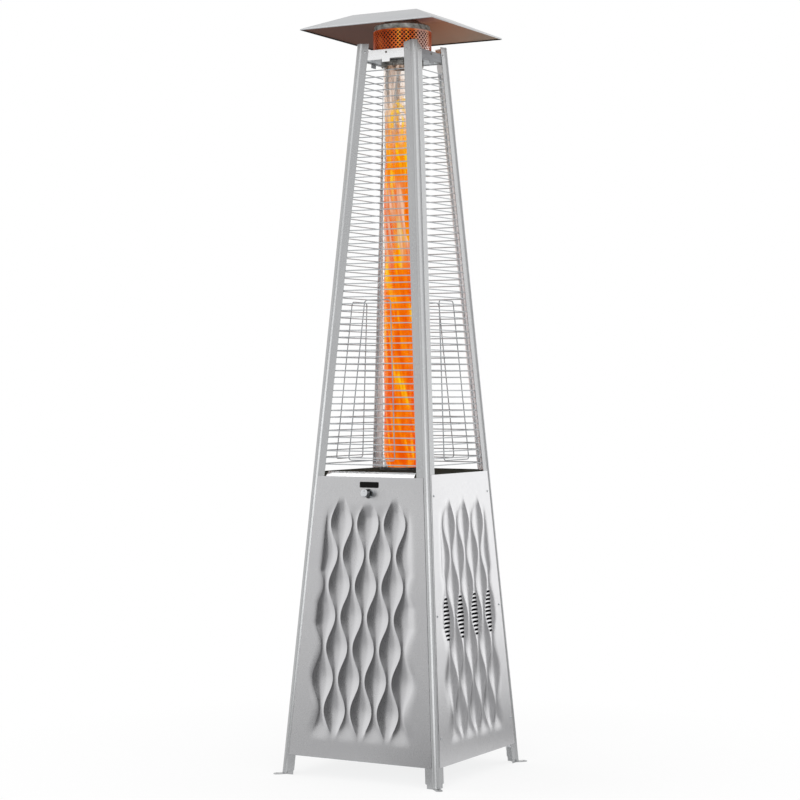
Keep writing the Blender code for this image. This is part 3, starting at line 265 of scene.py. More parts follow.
def heat_tint_and_shade():
    """The reflector's underside, stained by heat red-brown near the emitter, with painted shade: darker umber
    to the left and near black inside the rim.
    """
    stained = {"Metallic": 0.3, "Roughness": 0.5, "Specular IOR Level": 0.08}
    finish, tree, shader, place = begin("heat_tinted_stainless", stained)
    apart = add(tree, "SeparateXYZ", {}, {"Vector": (place, "Object")})
    flat = add(tree, "CombineXYZ", {"Z": 0.0}, {"X": (apart, "X"), "Y": (apart, "Y")})
    away = add(tree, "VectorMath", {"operation": "LENGTH"}, {0: (flat, "Vector")})
    # Clouds some 60 mm across break up the rings of the stain.
    clouds = add(tree, "TexNoise", {"Scale": 1000 / 62.5, "Detail": 5.0}, {"Vector": (place, "Object")})
    drift = add(tree, "Math", {"operation": "MULTIPLY_ADD", 1: 0.05},
                {0: (clouds, "Fac"), 2: (away, "Value")})
    ring = add(tree, "ValToRGB", {"stops": ((0.09, "#8a3a1e"), (0.15, "#a06e52"), (0.30, "#917e70"))},
               {"Fac": (drift, "Value")})
    # Painted shade: the left side of the underside is drawn darker, in umber.
    side = add(tree, "MapRange", {"From Min": -0.14, "From Max": 0.0, "To Min": 0.96, "To Max": 0.0},
               {"Value": (apart, "X")})
    stain_and_shade = add(tree, "Mix", {"data_type": "RGBA", 7: colour("#553122")},
               {0: (side, "Result"), 6: (ring, "Color")})
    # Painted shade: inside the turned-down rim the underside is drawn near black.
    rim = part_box("hood")[1].z - HOOD_DROP
    band = {"From Min": rim - 0.0004, "From Max": rim + 0.0006, "To Min": 0.95, "To Max": 0.0}
    hem_shade = add(tree, "MapRange", band, {"Value": (apart, "Z")})
    stain_and_shade = add(tree, "Mix", {"data_type": "RGBA", 7: colour("#15110f")}, {0: (hem_shade, "Result"), 6: (stain_and_shade, 2)})
    tree.links.new(stain_and_shade.outputs[2], shader.inputs["Base Color"])
    bump = add(tree, "Bump", {"Strength": 0.2, "Distance": 0.0006}, {"Height": (clouds, "Fac")})
    tree.links.new(bump.outputs["Normal"], shader.inputs["Normal"])
    return finish


def glowing_screen():
    """Perforated steel at red heat: copper-brown scale, glowing strips, and a near-white painted highlight on
    the right, where it does not glow.
    """
    finish, tree, shader, place = begin("red_hot_perforated_steel", {"Metallic": 0.6, "Roughness": 0.45})
    # The glowing strips are some 40 mm wide, and taller than the screen.
    width_mm, height_mm = 38.46, 333.3
    stretch = (1000 / width_mm, 1000 / width_mm, 1000 / height_mm)
    strips = add(tree, "Mapping", {"Scale": stretch}, {"Vector": (place, "Object")})
    licks = add(tree, "TexNoise", {"Scale": 1.0, "Detail": 2.0}, {"Vector": (strips, "Vector")})
    tone = add(tree, "ValToRGB", {"stops": ((0.35, "#8e3610"), (0.62, "#b85c26"), (0.8, "#d08434"))},
               {"Fac": (licks, "Fac")})
    glow = add(tree, "ValToRGB", {"stops": ((0.42, "#9c3604"), (0.60, "#d85c0c"), (0.72, "#ffb020"))},
               {"Fac": (licks, "Fac")})
    tree.links.new(glow.outputs["Color"], shader.inputs["Emission Color"])
    apart = add(tree, "SeparateXYZ", {}, {"Vector": (place, "Object")})
    # A painted highlight: on the right, before the middle, the screen is drawn near white and does not glow.
    right = add(tree, "MapRange", {"From Min": 0.067, "From Max": 0.079, "To Min": 0.0, "To Max": 0.50},
                {"Value": (apart, "X")})
    ahead = add(tree, "MapRange", {"From Min": -0.006, "From Max": 0.012, "To Min": 1.0, "To Max": 0.0},
                {"Value": (apart, "Y")})
    highlight_mask = add(tree, "Math", {"operation": "MULTIPLY"}, {0: (right, "Result"), 1: (ahead, "Result")})
    scale_and_highlight = add(tree, "Mix", {"data_type": "RGBA", 7: colour("#efeeea")},
               {0: (highlight_mask, "Value"), 6: (tone, "Color")})
    tree.links.new(scale_and_highlight.outputs[2], shader.inputs["Base Color"])
    heat = add(tree, "MapRange", {"To Min": 0.31, "To Max": 0.0}, {"Value": (highlight_mask, "Value")})
    tree.links.new(heat.outputs["Result"], shader.inputs["Emission Strength"])
    return finish


def flame(name, deep, bright, hot, low, high, thin, width_mm=15.15, bands=None):
    """Burning gas: light in streaks twisted up the tube, dense low down, yellower and thin above."""
    gas = {"Base Color": colour("#000000"), "Roughness": 1.0, **MATT}
    finish, tree, shader, place = begin(name, {**gas, "Emission Strength": 1.0})
    apart = add(tree, "SeparateXYZ", {}, {"Vector": (place, "Object")})
    angle = add(tree, "Math", {"operation": "MULTIPLY", 1: 2.5}, {0: (apart, "Z")})
    twisted = add(tree, "VectorRotate", {"rotation_type": "Z_AXIS"},
                  {"Vector": (place, "Object"), "Angle": (angle, "Value")})
    # Streaks are 11 or 15 mm wide, and waver.
    length_mm = 133.3
    stretch = (1000 / width_mm, 1000 / width_mm, 1000 / length_mm)
    stretched = add(tree, "Mapping", {"Scale": stretch}, {"Vector": (twisted, "Vector")})
    streaks = add(tree, "TexNoise", {"Scale": 1.0, "Detail": 3.0, "Roughness": 0.45, "Distortion": 0.5},
                  {"Vector": (stretched, "Vector")})
    lift = add(tree, "Math", {"operation": "MULTIPLY_ADD", 1: 0.09, 2: -0.127}, {0: (apart, "Z")})
    warm = add(tree, "Math", {"operation": "ADD"}, {0: (streaks, "Fac"), 1: (lift, "Value")})
    tone = add(tree, "ValToRGB", {"stops": ((0.38, deep), (0.56, bright), (0.70, hot))},
               {"Fac": (warm, "Value")})
    tree.links.new(tone.outputs["Color"], shader.inputs["Emission Color"])
    climb = add(tree, "MapRange", {"From Min": low, "From Max": high, "To Min": 0.62, "To Max": -0.12},
                {"Value": (apart, "Z")})
    body = add(tree, "Math", {"operation": "ADD"}, {0: (streaks, "Fac"), 1: (climb, "Result")})
    veil = add(tree, "MapRange", {"From Min": 0.44, "From Max": 0.66, "To Min": 0.0, "To Max": thin},
               {"Value": (body, "Value")})
    if bands:
        # Grey levels over the height of the tube's upper half, so that the haze comes and goes softly.
        level = add(tree, "MapRange", {"From Min": 1.45, "From Max": 2.10}, {"Value": (apart, "Z")})
        band = add(tree, "ValToRGB", {"stops": bands}, {"Fac": (level, "Result")})
        veil = add(tree, "Math", {"operation": "MULTIPLY"}, {0: (veil, "Result"), 1: (band, "Color")})
    tree.links.new(veil.outputs[0], shader.inputs["Alpha"])
    return finish


def glass():
    """Borosilicate tube: clear, with sharp grey reflections at its edges and a faint dust."""
    # The real index is 1.47; with 1.2 the reflections on the tube's walls don't veil the flame.
    clear = {"Transmission Weight": 1.0, "IOR": 1.2, "Specular IOR Level": 0.06,
             "Base Color": colour("#fdfefd")}
    finish, tree, shader, place = begin("borosilicate_glass", clear)
    # The dust lies in patches about 17 mm across.
    dust = add(tree, "TexNoise", {"Scale": 1000 / 16.67, "Detail": 4.0}, {"Vector": (place, "Object")})
    film = add(tree, "MapRange", {"From Min": 0.3, "From Max": 0.8, "To Min": 0.0, "To Max": 0.05},
               {"Value": (dust, "Fac")})
    tree.links.new(film.outputs["Result"], shader.inputs["Roughness"])
    return finish


# Posts, panels, bars, hood and feet are 0.8 to 2.5 mm stainless sheet. The grain runs the long way of each.
post_steel = brushed_steel("brushed_stainless_upright", "#a9aaab", "#9c9d9e", "z", 0.24, metallic=0.6)
panel_steel = brushed_steel("satin_stainless_pressed", "#c6c6c7", "#bfbfc1", "z", 0.29, relief=0.04)
# The front panel's folded lip is drawn near white: a painted highlight where it leans back towards the light.
lip_highlight_steel = brushed_steel("bright_folded_stainless", "#fbfbfb", "#f2f2f3", "x", 0.25)
# The bars at the sides are drawn darker, because the photograph shows them in the hood's shade.
bar_steel_x = brushed_steel("brushed_stainless_crosswise", "#f4f4f5", "#e8e9ea", "x", 0.25)
bar_steel_y = brushed_steel("brushed_stainless_lengthwise", "#8f9092", "#76787b", "y", 0.40)
hood_steel = brushed_steel("brushed_stainless_hood", "#b3b4b6", "#a5a7a9", "x", 0.32, 250)
# Inside the posts the sheet keeps its dull mill finish, which scatters more light.
mill_steel = brushed_steel("mill_finish_stainless", "#f4f4f5", "#e8e9ea", "z", 0.45, metallic=0.15)
# The hidden faces of the base panels are bare and dull, and drawn darker as painted shade, so that the cavity
# behind the slots looks dark.
inside_shade_steel = plain_finish("dull_inner_face", "#77787a", "#5c5d5f", 0.55, 6.0, 0.03, 0.5)
# Bright zinc sheet keeps a grey spangle about 8 mm across.
zinc_sheet = plain_finish("galvanised_sheet", "#b9bdc0", "#8f9498", 0.38, 8.0, 0.02)
# Chrome plate over turned metal is nearly a mirror, with only a faint haze.
chrome = plain_finish("chrome_plate", "#d4d6d8", "#c3c6c9", 0.09, 3.0, 0.005)
# The cap is the same plate dulled by the hot gas below it.
hot_chrome = plain_finish("heat_dulled_chrome", "#c2cac9", "#606a68", 0.30, 14.0, 0.02, 0.1)
# Guard wire is drawn steel with dull nickel on it.
wire_plate = plain_finish("nickel_plated_wire", "#b4b7ba", "#989c9f", 0.30, 2.0, 0.02, 0.4)
# Stove enamel on the deck is a dark olive grey, without sheen and with fine orange peel.
stove_enamel = plain_finish("stove_enamel", "#45453f", "#2e2e28", 0.6, 1.6, 0.06, 0.0, MATT)
# Parts in the fire are steel with a blue-black scale in patches.
scaled_steel = plain_finish("scaled_steel", "#6d6a68", "#2c2a2b", 0.5, 5.0, 0.08)
stained_plate = plain_finish("smoke_stained_steel", "#a3a09b", "#33312f", 0.42, 3.5, 0.08)
brass = plain_finish("turned_brass", "#d9b66a", "#a47f3c", 0.28, 2.5, 0.02)
ceramic = plain_finish("alumina_ceramic", "#efe9dd", "#d8cfbe", 0.45, 0.8, 0.02, 0.0, {"IOR": 1.6})
powder_coat = plain_finish("black_powder_coat", "#1c1c1d", "#101011", 0.45, 0.7, 0.05, 0.0, {"IOR": 1.5})
low_sheen = {"Specular IOR Level": 0.12}
plate_black = plain_finish("black_enamel_plate", "#060606", "#020202", 0.5, 0.6, 0.01, 0.0, low_sheen)
ferrite = plain_finish("ferrite_magnet", "#2b2a2c", "#1b1a1c", 0.6, 0.9, 0.05, 0.0)
underside = heat_tint_and_shade()
screen_glow = glowing_screen()
sooty = {"Specular IOR Level": 0.1}
# The screen's back and the disc under the cap are near black: heat scale, and painted shade for the emitter's
# inside seen through the holes.
back_scale_and_shade = plain_finish("scaled_screen_back", "#2c1206", "#140803", 0.8, 4.0, 0.05, 0.0, sooty)
outer_flame = flame("outer_flame", "#ee5600", "#fd8402", "#ffc814", 1.30, 2.00, 1.0)
HAZE_BANDS = ((0.02, "#000000"), (0.16, "#ffffff"), (0.36, "#ffffff"), (0.46, "#000000"),
              (0.56, "#000000"), (0.70, "#b0b0b0"), (0.80, "#ffffff"), (0.97, "#ffffff"))
pale_flame = flame("pale_flame", "#c09878", "#dcb092", "#fbe8da", -1.5, 3.0, 0.6, 11.11, HAZE_BANDS)
inner_flame = flame("inner_flame", "#fb7c04", "#ff980a", "#ffd424", 1.20, 2.00, 1.0)
tube_glass = glass()


# Making a piece.

def place_piece(name, data, finishes, nodes=(), body="chassis", sheet=0.0, edge=0.0, crease=35):
    """Shows a mesh as a piece: sheet gives it a thickness behind its face, edge rounds its corners."""
    obj = bpy.data.objects.new(name, data)
    bpy.context.scene.collection.objects.link(obj)
    for finish in finishes:
        data.materials.append(finish)
    data.polygons.foreach_set("use_smooth", [True] * len(data.polygons))
    data.set_sharp_from_angle(angle=math.radians(crease))
    if sheet:
        wall = obj.modifiers.new("wall", "SOLIDIFY")
        wall.thickness, wall.offset = sheet, -1
        wall.material_offset = len(finishes) - 1
        crisp = obj.modifiers.new("crisp", "EDGE_SPLIT")
        crisp.split_angle = math.radians(crease)
    if edge:
        bevel = obj.modifiers.new("edge", "BEVEL")
        bevel.width, bevel.segments, bevel.limit_method = edge, 2, "ANGLE"
        bevel.angle_limit = math.radians(40)
        bevel.harden_normals = True
    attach(obj, body)
    if nodes:
        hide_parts(*nodes)
    return obj


def finished(name, bm, mend=True):
    """Ends mesh work: joins points that meet and, on a closed form, turns its faces out."""
    bmesh.ops.remove_doubles(bm, verts=bm.verts, dist=MERGE)
    if mend:
        bmesh.ops.recalc_face_normals(bm, faces=bm.faces)
    data = bpy.data.meshes.new(name)
    bm.to_mesh(data)
    bm.free()
    return data


def bridge(bm, lower, upper):
    """A band of faces between two rings."""
    for k in range(len(lower)):
        n = (k + 1) % len(lower)
        bm.faces.new((lower[k], lower[n], upper[n], upper[k]))


def rounded_ring(bm, half_x, half_y, z, corner, shrink=0.0, steps=5):
    """A rectangle's outline with round corners; shrink draws it in."""
    ring = []
    for quarter in range(4):
        sx = 1 if quarter in (0, 3) else -1
        sy = 1 if quarter < 2 else -1
        for step in range(steps + 1):
            angle = QUARTER * (quarter + step / steps)
            x = sx * (half_x - corner) + (corner - shrink) * math.cos(angle)
            y = sy * (half_y - corner) + (corner - shrink) * math.sin(angle)
            ring.append(bm.verts.new((x, y, z)))
    return ring


def square_rings(bm, levels):
    """Rings joined by bands from half width, height and corner radius, downwards."""
    rings = [rounded_ring(bm, half, half, z, corner) for half, z, corner in levels]
    for upper, lower in zip(rings, rings[1:]):
        bridge(bm, lower, upper)
    return rings


def turned(name, outline, steps=96):
    """A form turned about Z from a closed outline of radius and height pairs."""
    bm = bmesh.new()
    rings = []
    for radius, z in outline:
        count = steps if radius > 0 else 1
        angles = [2 * math.pi * k / steps for k in range(count)]
        rings.append([bm.verts.new((radius * math.cos(a), radius * math.sin(a), z)) for a in angles])
    for one, two in zip(rings, rings[1:] + rings[:1]):
        if len(one) == 1 and len(two) == 1:
            continue
        for k in range(steps):
            n = (k + 1) % steps
            corners = [one[k % len(one)], one[n % len(one)], two[n % len(two)], two[k % len(two)]]
            bm.faces.new(list(dict.fromkeys(corners)))
    return finished(name, bm)


def wires(name, routes, radius, ring=False):
    """Round wire along each route."""
    curve = bpy.data.curves.new(name, "CURVE")
    curve.dimensions = "3D"
    curve.bevel_depth, curve.bevel_resolution, curve.use_fill_caps = radius, 2, True
    for route in routes:
        spline = curve.splines.new("POLY")
        spline.points.add(len(route) - 1)
        for point, at in zip(spline.points, route):
            point.co = (*at, 1.0)
        spline.use_cyclic_u = ring
    helper = bpy.data.objects.new(name, curve)
    bpy.context.scene.collection.objects.link(helper)
    graph = bpy.context.evaluated_depsgraph_get()
    data = bpy.data.meshes.new_from_object(helper.evaluated_get(graph))
    bpy.data.objects.remove(helper)
    return data


def joined(name, parts):
    """One mesh from several meshes, each with its own place."""
    bm = bmesh.new()
    for data, spot in parts:
        start = len(bm.verts)
        bm.from_mesh(data)
        bm.verts.ensure_lookup_table()
        bmesh.ops.transform(bm, matrix=spot, verts=bm.verts[start:])
    data = bpy.data.meshes.new(name)
    bm.to_mesh(data)
    bm.free()
    return data


# Posts: a round nose between two flanges, cut short of the floor at the flanges.

def top_drop(across, along, cuts):
    """The post's top is cut square to its lean, and its flanges' ends are trimmed lower."""
    ends = ((across, cuts[0]), (along, cuts[1]))
    return sum(cut * max(0, -at - TRIM_START) / (FLANGE_REACH - TRIM_START) for at, cut in ends)


def post_data(cuts):
    """Cuts are how far the top slopes down to the ends of the two flanges; the inner faces stay dull."""
    inner_radius = NOSE_RADIUS - POST_SHEET
    outer_start = math.pi - math.asin(FLANGE_FACE / NOSE_RADIUS)
    inner_start = math.pi - math.asin(FLANGE_BACK / inner_radius)
    outline = [(-FLANGE_REACH, FLANGE_FACE, FLANGE_CUT_FAR)]
    back = [(-FLANGE_REACH, FLANGE_BACK, FLANGE_CUT_FAR)]
    for step in range(NOSE_STEPS + 1):
        share = step / NOSE_STEPS
        low = FLANGE_CUT_NEAR if step in (0, NOSE_STEPS) else FOOT_SHEET
        for line, radius, start in ((outline, NOSE_RADIUS, outer_start), (back, inner_radius, inner_start)):
            angle = start + (QUARTER - 2 * start) * share
            line.append((radius * math.cos(angle), radius * math.sin(angle), low))
    outline.append((FLANGE_FACE, -FLANGE_REACH, FLANGE_CUT_FAR))
    back.append((FLANGE_BACK, -FLANGE_REACH, FLANGE_CUT_FAR))
    bm = bmesh.new()
    loop = outline + back[::-1]
    low = [bm.verts.new(at_corner(u, v, z)) for u, v, z in loop]
    high = [bm.verts.new(at_corner(u, v, POST_TOP - top_drop(u, v, cuts))) for u, v, z in loop]
    count = len(loop)
    for k in range(count):
        n = (k + 1) % count
        face = bm.faces.new((low[k], low[n], high[n], high[k]))
        face.material_index = int(len(outline) <= k < count - 1)
    for k in range(len(outline) - 1):
        for ring in (low, high):
            bm.faces.new((ring[k], ring[k + 1], ring[count - 2 - k], ring[count - 1 - k]))
    return finished("post", bm)


for corner, turns in CORNERS.items():
    data = post_data(FRONT_RIGHT_TRIM if corner == "front_right" else TOP_TRIM)
    data.transform(quarter_turn(turns))
    place_piece(f"rolled_post_{corner}", data, [post_steel, mill_steel], [f"post_{corner}"],
                edge=0.0003)


# Base panels: eight crests that sway opposite ways, with smooth valleys between them.

def crest_at(index, z):
    sway = WAVE_SWAY * math.sin(2 * math.pi * (z - WAVE_START) / WAVE_LENGTH)
    place = (index - (WAVE_RIDGES - 1) / 2) * WAVE_PITCH + (sway if index % 2 == 0 else -sway)
    limit = half_at(z) - WAVE_MARGIN
    return max(-limit, min(limit, place))


def valley_depth(index, z, dip):
    """Less where two crests come close, and nothing at both ends."""
    odd = index % 2 == 1
    top = WAVE_TOP - (dip if index == (WAVE_RIDGES - 2) // 2 else 0) if odd else WIDE_TOP
    run = WAVE_FADE if odd else WIDE_FADE
    fade = max(0, min(1, (z - WAVE_LOW) / run, (top - z) / run))
    width = crest_at(index + 1, z) - crest_at(index, z)
    return WAVE_DEPTH * width / (WAVE_PITCH + 2 * WAVE_SWAY) * fade * fade * (3 - 2 * fade)


def valley_shape(share):
    """How deep the valley is between its two crests, as a share of straight flanks' depth."""
    aside = abs(2 * share - 1)
    return 1 - (aside if aside > VALLEY_ROUND else (aside**2 + VALLEY_ROUND**2) / (2 * VALLEY_ROUND))


def panel_rows(top, vents):
    """Heights of the rows; where there are vents they follow the slots' edges."""
    rows = [PANEL_LOW + ROW * k for k in range(int((top - PANEL_LOW) / ROW))] + [top]
    if vents:
        first = VENT_Z - (VENT_COUNT - 1) / 2 * VENT_PITCH - VENT_HEIGHT / 2
        slots = []
        for k in range(VENT_COUNT):
            low = first + k * VENT_PITCH
            slots += [low, low + VENT_HEIGHT / 2, low + VENT_HEIGHT]
            slots.append(low + (VENT_HEIGHT + VENT_PITCH) / 2)
        below = [z for z in rows if z < slots[0] - ROW / 2]
        above = [z for z in rows if z > slots[-1] + ROW / 2]
        rows = below + slots + above
    return rows


def in_slot(low, high):
    """Whether this row of cells is the upper or lower half of a vent slot."""
    middle = (low + high) / 2 - VENT_Z
    number = round(middle / VENT_PITCH)
    return abs(number) <= VENT_COUNT // 2 and abs(middle - number * VENT_PITCH) < VENT_HEIGHT / 2


def slot_top(z):
    """Whether this is the height of a slot's upper edge."""
    number = round((z - VENT_HEIGHT / 2 - VENT_Z) / VENT_PITCH)
    return abs(number) <= VENT_COUNT // 2 and abs(z - VENT_HEIGHT / 2 - VENT_Z - number * VENT_PITCH) < MERGE


def panel_data(top, press, vents=False, dip=0.0, lip=False, hole=False):
    """The outer face of a panel as one sheet, with its slots, knob hole and folded lip."""
    rows = panel_rows(top, vents)
    bm = bmesh.new()
    grid = []
    for z in rows:
        edge = half_at(z) - PANEL_EDGE
        first, last = crest_at(0, z), crest_at(WAVE_RIDGES - 1, z)
        line = [(-edge + (first + edge) * s, PANEL_FRONT, None, 0) for s in (0, 0.33, 0.67)]
        for index in range(WAVE_RIDGES - 1):
            left, right = crest_at(index, z), crest_at(index + 1, z)
            depth = press * valley_depth(index, z, dip)
            for share in ACROSS_VALLEY:
                out = PANEL_FRONT - depth * valley_shape(share)
                line.append((left + (right - left) * share, out, index, share))
        line += [(last + (edge - last) * s, PANEL_FRONT, None, 0) for s in (0, 0.33, 0.67, 1)]
        cells = []
        for x, out, index, share in line:
            if vents and index in VENT_CELLS and VENT_SHARES[0] < share < VENT_SHARES[1] and slot_top(z):
                out += VENT_LIP
            cells.append((bm.verts.new(on_face(x, z, out)), index, share))
        grid.append(cells)
    for (low_z, lower), (high_z, upper) in zip(zip(rows, grid), list(zip(rows, grid))[1:]):
        cut_row = vents and in_slot(low_z, high_z)
        for a, b, c, d in zip(lower, lower[1:], upper[1:], upper):
            middle_share = a[2] + HALF_CELL
            if cut_row and a[1] in VENT_CELLS and VENT_SHARES[0] <= middle_share <= VENT_SHARES[1]:
                continue
            bm.faces.new((a[0], b[0], c[0], d[0]))
    if hole:
        cut_hole(bm)
    if lip:
        fold_lip(bm, [cell[0] for cell in grid[-1]])
    return finished("panel", bm, mend=False)


def cut_hole(bm):
    """Takes out the cells about the knob and closes the gap up to a round hole."""
    reach = KNOB_HOLE + 0.0035
    centre = on_face(0, KNOB_Z, PANEL_FRONT)

    def inside(face):
        middle = face.calc_center_median()
        return abs(middle.x) < reach and abs(middle.z - KNOB_Z) < reach

    bmesh.ops.delete(bm, geom=[face for face in bm.faces if inside(face)], context="FACES")
    rim = [edge for edge in bm.edges if edge.is_boundary and (edge.verts[0].co - centre).length < 2 * reach]
    ring = {}
    for edge in rim:
        for vert in edge.verts:
            if vert not in ring:
                angle = math.atan2(vert.co.z - KNOB_Z, vert.co.x)
                x, z = KNOB_HOLE * math.cos(angle), KNOB_Z + KNOB_HOLE * math.sin(angle)
                ring[vert] = bm.verts.new(on_face(x, z, PANEL_FRONT))
    for edge in rim:
        one, two = edge.link_loops[0].vert, edge.link_loops[0].link_loop_next.vert
        bm.faces.new((two, one, ring[one], ring[two]))


def fold_lip(bm, top_row):
    """The top edge is folded back, narrower than the panel, in a tight bend."""
    reach = half_at(DOOR_TOP) - DOOR_LIP_SIDE
    held = [vert for vert in top_row if abs(vert.co.x) < reach + 0.004]
    last = held
    for share, turn in ((0.04, 0.25), (0.10, 0.80), (1.0, 1.0)):
        z = DOOR_TOP + (DOOR_LIP_TOP - DOOR_TOP) * share
        out = PANEL_FRONT - DOOR_LIP_DEPTH * share * turn
        line = [bm.verts.new(on_face(vert.co.x, z, out)) for vert in held]
        for a, b, c, d in zip(last, last[1:], line[1:], line):
            bm.faces.new((a, b, c, d)).material_index = 1
        last = line


for side in ("right", "back", "left"):
    data = panel_data(PANEL_TOP, SIDE_PRESS, vents=side != "back")
    data.transform(quarter_turn(SIDES[side]))
    place_piece(f"pressed_panel_{side}", data, [panel_steel, inside_shade_steel], [f"panel_{side}"],
                sheet=PANEL_SHEET, crease=25)


# The tilting front panel, its two tongues and the bare plate above the knob.

def tongues():
    """Two flat hooks that stand in the tray's slots."""
    half, tip_half = 0.020, 0.016
    root = PANEL_FRONT - PANEL_SHEET / 2
    shoulder, tip = root - 0.010, root - 0.0138
    corners = [(-half, root), (half, root), (half, shoulder), (tip_half, tip)]
    corners += [(-tip_half, tip), (-half, shoulder)]
    bm = bmesh.new()
    for middle in (-0.12, 0.12):
        low, high = ([bm.verts.new(on_face(middle + x, z, out)) for x, out in corners]
                     for z in (PANEL_LOW, PANEL_LOW + 0.0015))
        bm.faces.new(low[::-1])
        bm.faces.new(high)
        bridge(bm, low, high)
    return finished("tongues", bm)


door = panel_data(DOOR_TOP, 1.0, dip=WAVE_DIP, lip=True, hole=True)
place_piece("pressed_front_panel", door, [panel_steel, lip_highlight_steel, inside_shade_steel], ["front_panel"],
            "front_door", sheet=PANEL_SHEET, crease=25)
place_piece("front_panel_tongues", tongues(), [panel_steel], (), "front_door", edge=0.0002)


def rounded_plate(name, width, height, corner, thickness, steps=6):
    """A flat plate with round corners and a broken edge, facing Z."""
    ease = 0.0003
    bm = bmesh.new()
    rings = []
    for shrink, z in ((0, 0), (0, thickness - ease), (ease, thickness)):
        rings.append(rounded_ring(bm, width / 2, height / 2, z, corner, shrink, steps))
    for lower, upper in zip(rings, rings[1:]):
        bridge(bm, lower, upper)
    bm.faces.new(rings[0][::-1])
    bm.faces.new(rings[-1])
    return finished(name, bm)


label = rounded_plate("label", 0.062, 0.017, 0.003, 0.0012)
label.transform(face_frame(0, LABEL_Z, PANEL_FRONT + 0.0003))
place_piece("bare_label_plate", label, [plate_black], ["label_plate"], "front_door")

# The knob is turned and plated, with a waist behind its head and a dished face.
KNOB_OUTLINE = [
    (0, 0.0285), (0.0033, 0.0285), (0.0033, 0.0112), (0.0092, 0.0112), (0.0098, 0.0118), (0.0098, 0.0225),
    (0.0106, 0.0240), (0.0115, 0.0252), (0.0115, 0.0362), (0.0112, 0.0370), (0.0103, 0.0374),
    (0.0080, 0.0372), (0, 0.0370),
]
knob = turned("knob", KNOB_OUTLINE)
knob.transform(face_frame(0, KNOB_Z, 0))
place_piece("plated_knob", knob, [chrome], ["control_knob"], "knob")
pointer = rounded_plate("pointer", 0.0012, 0.0065, 0.0005, 0.0004, 3)
pointer.transform(face_frame(0, KNOB_Z, 0) @ Matrix.Translation((0, 0.0062, 0.0370)))
place_piece("knob_pointer_line", pointer, [plate_black], (), "knob")


# Small fasteners.

def screw_head(radius, height):
    """A pan head with a round socket."""
    shares = ((0, 0), (1, 0), (1, 0.4), (0.85, 0.85), (0.5, 1), (0.42, 1), (0.36, 0.4), (0, 0.35))
    return turned("screw", [(radius * across, height * up) for across, up in shares], 12)


def screws(name, places, turns, radius, height, out, finish=chrome):
    head = screw_head(radius, height)
    spots = [(head, quarter_turn(turns) @ face_frame(x, z, out)) for x, z in places]
    place_piece(name, joined(name, spots), [finish], ())


for side, turns in SIDES.items():
    if side != "front":
        spots = [(sign * (half_at(z) - 0.020), z) for z in PANEL_SCREWS_Z for sign in (-1, 1)]
        screws(f"panel_screws_{side}", spots, turns, 0.0034, 0.0018, PANEL_FRONT)
    spots = [(sign * (half_at(POST_SCREWS_Z) - 0.0215), POST_SCREWS_Z) for sign in (-1, 1)]
    screws(f"post_screws_{side}", spots, turns, 0.0030, 0.0016, FLANGE_FACE)
    screws(f"bar_screw_{side}", [(0, BAR_SCREW_Z)], turns, 0.0034, 0.0014, INSIDE_FACE, stained_plate)


# Wire guards and their stiffening loops.

RUNGS_Z = [RUNG_LOW + RUNG_PITCH * k for k in range(RUNG_COUNT)]


def loop_route():
    """A tall loop that narrows upwards, with round corners, behind the rungs."""
    low, high, low_half, high_half, corner = 0.914, 1.379, 0.077, 0.043, 0.011
    corners = [(low_half, low), (high_half, high), (-high_half, high), (-low_half, low)]
    out = INSIDE_FACE - WIRE - 0.0003 - WIRE / 2
    route = []
    for index, here in enumerate(corners):
        here = Vector(here)
        before = (Vector(corners[index - 1]) - here).normalized() * corner
        after = (Vector(corners[(index + 1) % 4]) - here).normalized() * corner
        for step in range(9):
            share = step / 8
            spot = here + before * (1 - share) ** 2 + after * share**2
            route.append(on_face(spot.x, spot.y, out))
    return route


for side, turns in SIDES.items():
    centre = INSIDE_FACE - WIRE / 2
    rungs = [[on_face(s * (half_at(z) - RAIL_INSET), z, centre) for s in (-1, 1)] for z in RUNGS_Z]
    ends = (RUNGS_Z[0] - RAIL_PAST_RUNGS, RUNGS_Z[-1] + RAIL_PAST_RUNGS)
    rails = [[on_face(s * (half_at(z) - RAIL_INSET), z, centre - 0.0008) for z in ends] for s in (-1, 1)]
    parts = [(wires("rungs", rungs, WIRE / 2), Matrix()), (wires("rails", rails, RAIL_WIRE / 2), Matrix())]
    data = joined("guard", parts)
    data.transform(quarter_turn(turns))
    place_piece(f"wire_guard_{side}", data, [wire_plate], [f"guard_{side}"])
    data = wires("loop", [loop_route()], WIRE / 2, ring=True)
    data.transform(quarter_turn(turns))
    place_piece(f"wire_loop_{side}", data, [wire_plate], [f"stiffener_{side}"])


# Flame tube, its seat and its collar.

def eased(outer, inner, low, high, ease):
    """The outline of a ring with eased corners."""
    return [(inner, low + ease), (inner + ease, low), (outer - ease, low), (outer, low + ease),
            (outer, high - ease), (outer - ease, high), (inner + ease, high), (inner, high - ease)]


tube_low, tube_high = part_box("glass_tube")
inner = TUBE_RADIUS - TUBE_WALL
tube_data = turned("tube", eased(TUBE_RADIUS, inner, tube_low.z, tube_high.z, 0.0004))
tube = place_piece("clear_flame_tube", tube_data, [tube_glass], ["glass_tube"])
# Reflections would show the flame through the tube and tint the wires behind it brown.
tube.visible_glossy = False
for node, finish, slot in (
    ("tube_seat_ring", scaled_steel, "dark_steel"),
    ("tube_collar", stained_plate, "steel"),
):
    low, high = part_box(node)
    ring = eased(high.x, TUBE_RADIUS + 0.0004, low.z, high.z, 0.0008)
    place_piece(f"turned_{node}", turned(node, ring), [finish], [node])


# The emitter: a perforated screen of staggered diamonds between two plain bands, and its cap.

